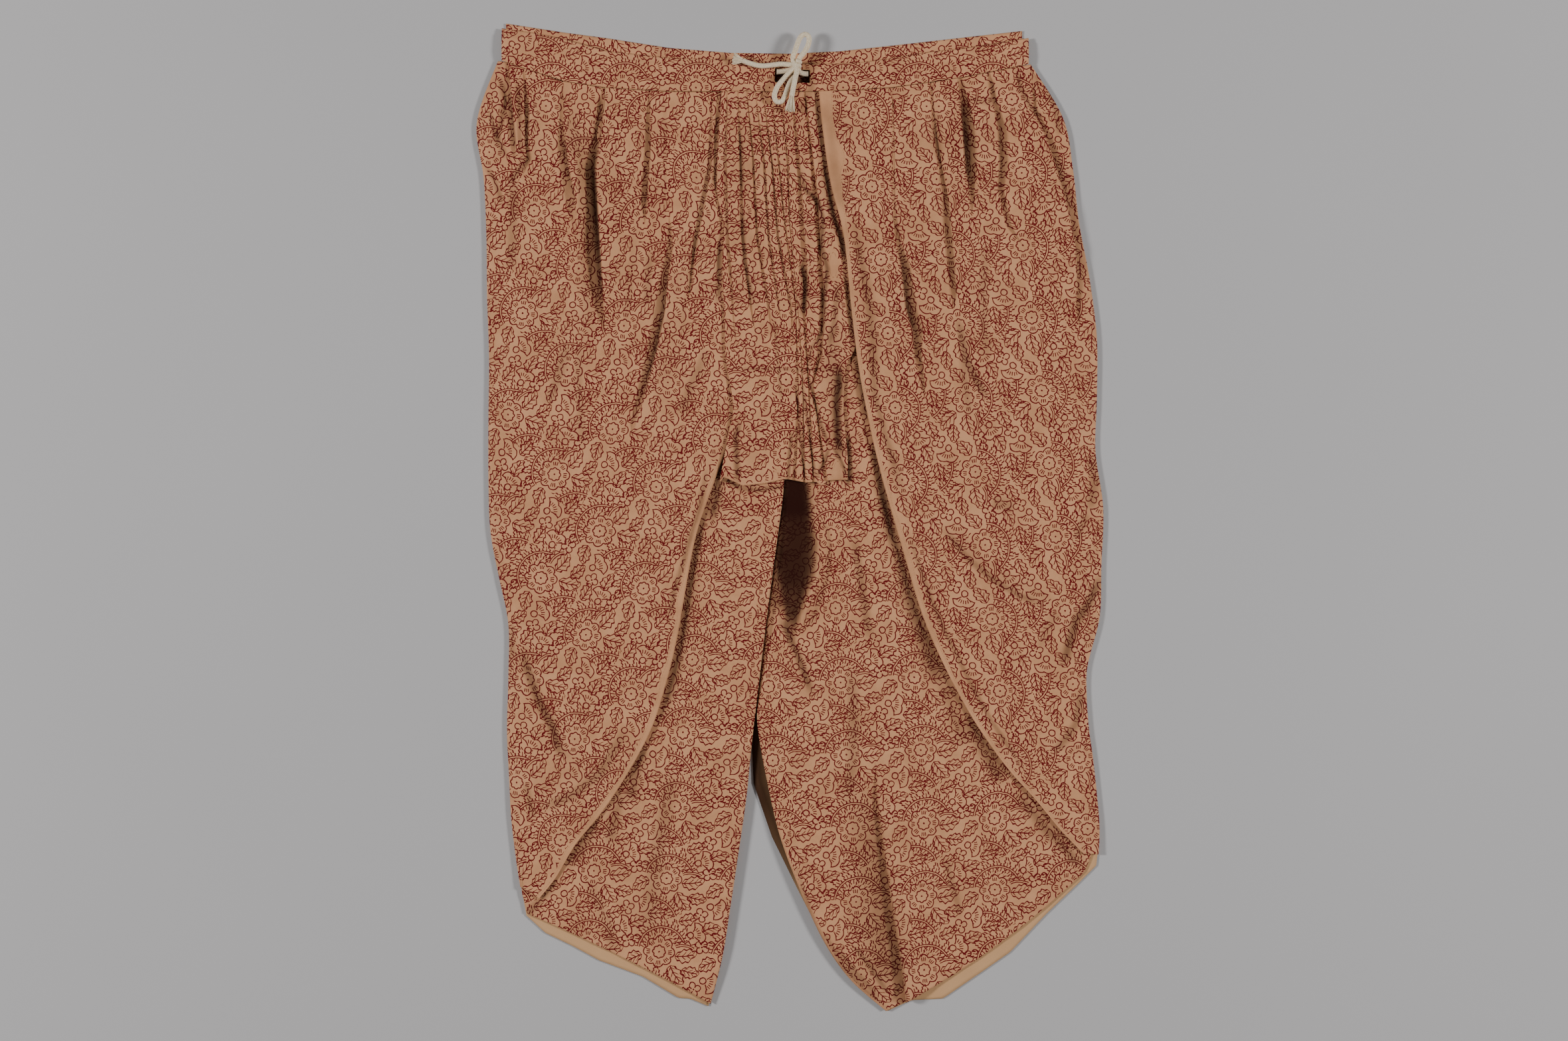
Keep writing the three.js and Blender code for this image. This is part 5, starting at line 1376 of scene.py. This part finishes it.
def tube(centres: Array, radii: Array, sides: int, strands: int = 0, lay: float = 9.0,
         relief: float = 0.0) -> tuple[list, list]:
    """Points and faces of a closed tube along a line.

    Args:
        centres: Ring centres.
        radii: Radius of each ring.
        sides: Points of a ring.
        strands: How many strands wind round the tube.
        lay: Length over which a strand goes once round.
        relief: Depth between strands, as a share of the radius.

    Returns:
        The points and the faces.
    """
    along = np.gradient(centres, axis=0)
    along /= np.linalg.norm(along, axis=1, keepdims=True)
    side = np.cross(along[0], (0.3, 0.2, 1.0))
    run = np.concatenate([[0], np.cumsum(np.linalg.norm(np.diff(centres, axis=0), axis=1))])
    points, faces = [], []
    angles = np.arange(sides) * 2 * math.pi / sides
    for k, centre in enumerate(centres):
        side = side - along[k] * np.dot(side, along[k])
        side /= np.linalg.norm(side)
        other = np.cross(along[k], side)
        swell = radii[k] * (1 + relief * np.cos(strands * (angles + 2 * math.pi * run[k] / lay)))[:, None]
        ring = centre + swell * (np.cos(angles)[:, None] * side + np.sin(angles)[:, None] * other)
        points += ring.tolist()
        if k:
            low = (k - 1) * sides
            faces += [(low + i, low + (i + 1) % sides, low + sides + (i + 1) % sides, low + sides + i)
                      for i in range(sides)]
    faces.append(tuple(range(sides))[::-1])
    faces.append(tuple(range(len(points) - sides, len(points))))
    return points, faces


def mesh_piece(name: str, parts: list[tuple[list, list]], material: Material) -> Piece:
    """Make one piece of several closed forms, given in mm."""
    points, faces = [], []
    for part_points, part_faces in parts:
        faces += [tuple(i + len(points) for i in face) for face in part_faces]
        points += part_points
    mesh = bpy.data.meshes.new(name)
    mesh.from_pydata((np.array(points) * MM).tolist(), [], faces)
    mesh.polygons.foreach_set("use_smooth", [True] * len(faces))
    mesh.update()
    mesh.materials.append(material)
    piece = linked(name, mesh)
    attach(piece, "root")
    return piece


@dataclass
class Drawstring:
    """The cotton cord: two halves that come out of the slit, a bow knot, and two frayed ends."""

    diameter: float = 5.0
    left_half: Run = (
        (-12.9, 436.6, 5.4), (-10.5, 436.6, 5.6), (-6, 436.9, 6.9), (2.2, 438.2, 9.9), (6.6, 439.6, 11.6),
        (7.6, 437.2, 11.4), (5.2, 433.6, 10.6), (0.6, 426.0, 12.0), (-2.4, 419, 12.5), (-4.6, 412.5, 12.6),
        (-7.6, 406.8, 12.6), (-12.8, 406.2, 12.6), (-15.2, 411.5, 12.8), (-12.6, 420, 13.2),
        (-6.6, 427.8, 13.4), (0.6, 435.4, 14.3), (5.0, 439.4, 14.6), (5.6, 442.2, 14.2), (0.7, 442.2, 13.3),
        (-9, 442.9, 12.4), (-15.5, 442.3, 11.6), (-27.5, 441.3, 11.2), (-38, 443.6, 10.6), (-46, 446.6, 10.2),
    )
    right_half: Run = (
        (17.9, 434.5, 5.4), (15.8, 434.5, 5.6), (12.6, 434.6, 7.0), (8.2, 436.6, 8.9), (7.2, 441.4, 11.0),
        (9.7, 448.9, 13.2), (14.2, 454.5, 13.2), (18.0, 462.0, 12.6), (18.6, 469.0, 11.8),
        (15.2, 472.2, 11.4), (11.0, 470.2, 11.6), (8.0, 464.5, 12.2), (5.2, 456, 12.8), (2.9, 448.9, 13.2),
        (4.4, 442.5, 14.8), (6.2, 438.4, 15.6), (6.4, 434.4, 15.9), (5.0, 427, 17.8), (3.4, 419.5, 17.8),
        (1.8, 411, 16.4),
    )
    wrap_centre: tuple[float, float, float] = (6.3, 441.2, 13.2)
    wrap_reach: tuple[float, float, float] = (2.9, 4.6, 1.9)
    wrap_radius: float = 2.3
    wrap_turns: float = 2.3
    strands: int = 6
    lay: float = 7.0
    step: float = 0.8
    sides: tuple[int, int] = (18, 14)  # of the cord and of its wrap
    relief: tuple[float, float] = (0.035, 0.04)  # of the strands, as shares of the radius, for the same two
    wrap_rings: int = 90
    threads: int = 110  # in each frayed end
    thread: tuple[float, float] = (0.42, 0.3)  # radius of a thread at its root and at its tip
    thread_rings: int = 9
    neck: float = 2.1  # radius of the bundle of threads where it leaves the cord
    tufts: tuple = (
        ("drawstring_tuft_left", (-46.0, 446.6, 10.2), (-55.5, 448.4, 9.6), 12.0),
        ("drawstring_tuft_down", (1.8, 411.0, 16.4), (0.2, 397.0, 13.6), 9.5),
    )

    def half(self, name: str, run: Run, nodes: tuple[str, ...], cotton: Material,
             on_it: list[Piece]) -> None:
        """Args:
            name: Name of the piece.
            run: The points that it goes through.
            nodes: The solids that it stands for.
            cotton: Its material.
            on_it: The separate pieces on it; not used.
        """
        centres = resampled(run, self.step)
        radii = np.full(len(centres), self.diameter / 2)
        cord = tube(centres, radii, self.sides[0], self.strands, self.lay, self.relief[0])
        piece = mesh_piece(name, [cord], cotton)
        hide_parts(*nodes)

    def knot(self, cotton: Material) -> Piece:
        """Make the two turns of cord that hold the bow together."""
        turns = np.linspace(0, self.wrap_turns * 2 * math.pi, self.wrap_rings)
        cx, cy, cz = self.wrap_centre
        rx, ry, rz = self.wrap_reach
        rise = (turns / turns[-1] - 0.5) * 2 * ry
        centres = np.stack([cx + rx * np.cos(turns) + 0.12 * rise, cy + rise, cz + rz * np.sin(turns)], -1)
        radii = np.full(len(turns), self.wrap_radius)
        turn = tube(centres, radii, self.sides[1], self.strands, self.lay, self.relief[1])
        piece = mesh_piece("drawstring_wrap", [turn], cotton)
        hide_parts("drawstring_knot")
        return piece

    def tuft(self, name: str, start: tuple, end: tuple, wide: float, cotton: Material) -> Piece:
        """Make a frayed end: loose threads that spread from the end of the cord."""
        rng = np.random.default_rng(len(name))
        start, end = np.array(start), np.array(end)
        along = end - start
        aside = np.cross(along, (0, 0, 1))
        aside /= np.linalg.norm(aside)
        over = np.cross(aside, along) / np.linalg.norm(along)
        parts = []
        for _ in range(self.threads):
            angle, reach = rng.uniform(0, 2 * math.pi), math.sqrt(rng.uniform(0, 1))
            out = (math.cos(angle) * reach, math.sin(angle) * reach)
            length, bend = rng.uniform(0.82, 1.08), rng.normal(0, 0.5, 2)
            t = np.linspace(-0.12, length, self.thread_rings)[:, None]
            spread = smooth(t * 1.1) ** 0.8
            sideways = out[0] * (self.neck + (wide / 2 - self.neck) * spread) + bend[0] * t ** 2
            upwards = out[1] * (self.neck - 0.5 * spread) + bend[1] * 0.4 * t ** 2
            line = start + along * t + aside * sideways + over * upwards
            parts.append(tube(line, np.linspace(*self.thread, self.thread_rings), 4))
        piece = mesh_piece(name + "_threads", parts, cotton)
        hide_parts(name)
        return piece

    def build(self, cotton: Material) -> None:
        """Make the whole drawstring."""
        left_tuft, down_tuft = (self.tuft(*tuft, cotton) for tuft in self.tufts)
        wrap = self.knot(cotton)
        for side, run, parts, on_it in (
                ("left", self.left_half, ("from_left", "loop_lower", "end_left"), [left_tuft, wrap]),
                ("right", self.right_half, ("from_right", "loop_upper", "end_down"), [down_tuft])):
            nodes = tuple(f"drawstring_{part}" for part in parts)
            self.half(f"drawstring_{side}_half", run, nodes, cotton, on_it)


# ---- camera, floor and light --------------------------------------------------------------------------
@dataclass(frozen=True)
class Studio:
    """The camera straight above, the pale floor and the soft light."""

    mm_per_pixel: float = 0.652
    centre: tuple[float, float] = (-5.8, -3.2)
    distance: float = 2.6
    sensor: float = 36.0
    floor_colour: Colour = (0.45, 0.438, 0.44, 1)
    floor_reach: float = 6.0
    floor_level: float = -0.0004
    floor_lighter: float = 1.06  # how much lighter its light patches are
    lamps: tuple = (("key_left", (-3.4, 0.3, 2.3), 0.8, 128), ("key_right", (3.4, 0.25, 2.3), 0.8, 120))
    fill: float = 0.18

    def camera(self) -> None:
        """Add the camera, framed on the whole garment."""
        data = bpy.data.cameras.new("camera")
        data.sensor_width = self.sensor
        data.lens = self.sensor * self.distance / (IMAGE_SIZE[0] * self.mm_per_pixel * MM)
        made = bpy.data.objects.new("camera", data)
        made.location = (self.centre[0] * MM, self.centre[1] * MM, self.distance)
        bpy.context.scene.collection.objects.link(made)
        bpy.context.scene.camera = made

    def floor(self) -> None:
        """Add the pale sheet that the garment lies on."""
        mesh = bpy.data.meshes.new("floor")
        far, level = self.floor_reach, self.floor_level
        mesh.from_pydata([(x, y, level) for x, y in ((-far, -far), (far, -far), (far, far), (-far, far))],
                         [], [(0, 1, 2, 3)])
        made = linked("floor", mesh)
        material = bpy.data.materials.new("pale_sheet")
        nodes = Nodes(material)
        lighter = tuple(c * self.floor_lighter for c in self.floor_colour[:3]) + (1,)
        nodes.finish(nodes.mix(nodes.noise(nodes.place(), 2.2, 3), self.floor_colour, lighter), 0.95, 0.1)
        mesh.materials.append(material)

    def light(self, name: str, place: tuple[float, float, float], size: float, power: float) -> None:
        """Add one soft light that faces the garment."""
        data = bpy.data.lights.new(name, "AREA")
        data.shape = "DISK"
        data.size = size
        data.energy = power
        made = bpy.data.objects.new(name, data)
        made.location = place
        made.rotation_euler = (-Vector(place)).to_track_quat("-Z", "Y").to_euler()
        bpy.context.scene.collection.objects.link(made)

    def build(self) -> None:
        """Add all of the studio."""
        self.camera()
        self.floor()
        for lamp in self.lamps:
            self.light(*lamp)
        world = bpy.data.worlds.new("soft_fill")
        bpy.context.scene.world = world
        world.use_nodes = True
        sky = world.node_tree.nodes["Background"].inputs
        sky["Color"].default_value, sky["Strength"].default_value = (1, 1, 1, 1), self.fill


def panels() -> list[Panel]:
    """List the pieces of cloth that have folds of their own."""
    low, side, inner = EdgeLevel(2, 10), EdgeLevel(0, 12), EdgeLevel(4, 16)
    leg = {"column": 2.8, "row": 3.2, "quiet_above": 130, "lowest": 1.9}
    drape = {"swell": 0.8, "crumple": 0.22}
    return [
        Panel("leg_left_cloth", "leg_left", LEG_LEFT_ROWS, low, inner, Grain(-6, 10, 5), (), LEG_LEFT_CREASES,
              seed=3, cut=Cut(0.29, 0.9, 0.218), rests_on=("back_left",), **leg),
        Panel("leg_right_cloth", "leg_right", LEG_RIGHT_ROWS, inner, low, Grain(4, 33, 20), LEG_RIGHT_PLEATS,
              LEG_RIGHT_CREASES, plain_left=((-280, -4), (-320, 1.6), (-400, 2.8), (-450, 1.6)),
              seed=5, cut=Cut(0.32, 0.93, 0.25), rests_on=("back_right",), **leg),
        Panel("drape_left_cloth", "drape_left", DRAPE_LEFT_ROWS, side, EdgeLevel(5, 10), Grain(38, 12, 40),
              DRAPE_LEFT_PLEATS, DRAPE_LEFT_CREASES,
              plain_right=((60, 3), (0, 5), (-60, 6.5), (-120, 5.5), (-250, 5), (-370, 4)),
              seed=7, cut=Cut(0.28, 0.83, 0.16), rests_on=("leg_left",), **drape),
        Panel("drape_right_cloth", "drape_right", DRAPE_RIGHT_ROWS, EdgeLevel(9, 14), side,
              Grain(-84, 25, 30), DRAPE_RIGHT_PLEATS, DRAPE_RIGHT_CREASES,
              plain_left=((410, 15), (345, 14), (312, 7), (280, 3.5), (140, 3), (60, 3.5), (0, 5), (-110, 5),
                          (-200, 3.6), (-300, 2.6)),
              seed=9, cut=Cut(0.27, 0.79, 0.147), rests_on=("leg_right",), **drape),
        Panel("centre_pleats_cloth", "centre_pleats", CENTRE_ROWS, EdgeLevel(20, 22), EdgeLevel(8, 10),
              Grain(0, 4, 9), CENTRE_PLEATS, CENTRE_CREASES, hem=CENTRE_HEM, plain_hem=1.6,
              rolled=CENTRE_ROLLED, column=1.3, row=2.0, swell=0.25, crumple=0.1,
              seed=15, cut=Cut(0.16, 0.386, 0.054), rests_on=("leg_left", "leg_right")),
    ]


def main() -> None:
    """Build the studio and every piece."""
    logging.basicConfig(level=logging.INFO, format="%(message)s")
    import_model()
    Studio().build()
    Drawstring().build(CordCotton().material())
    look = Print()
    printed, plain = look.material(), look.wrong_side()
    for panel in panels():
        panel.build(printed, plain)
    for back in back_panels():
        back.build(plain, printed)
    BackBand().build(printed, plain)
    FrontBand().build(printed, plain)


if __name__ == "__main__":
    main()
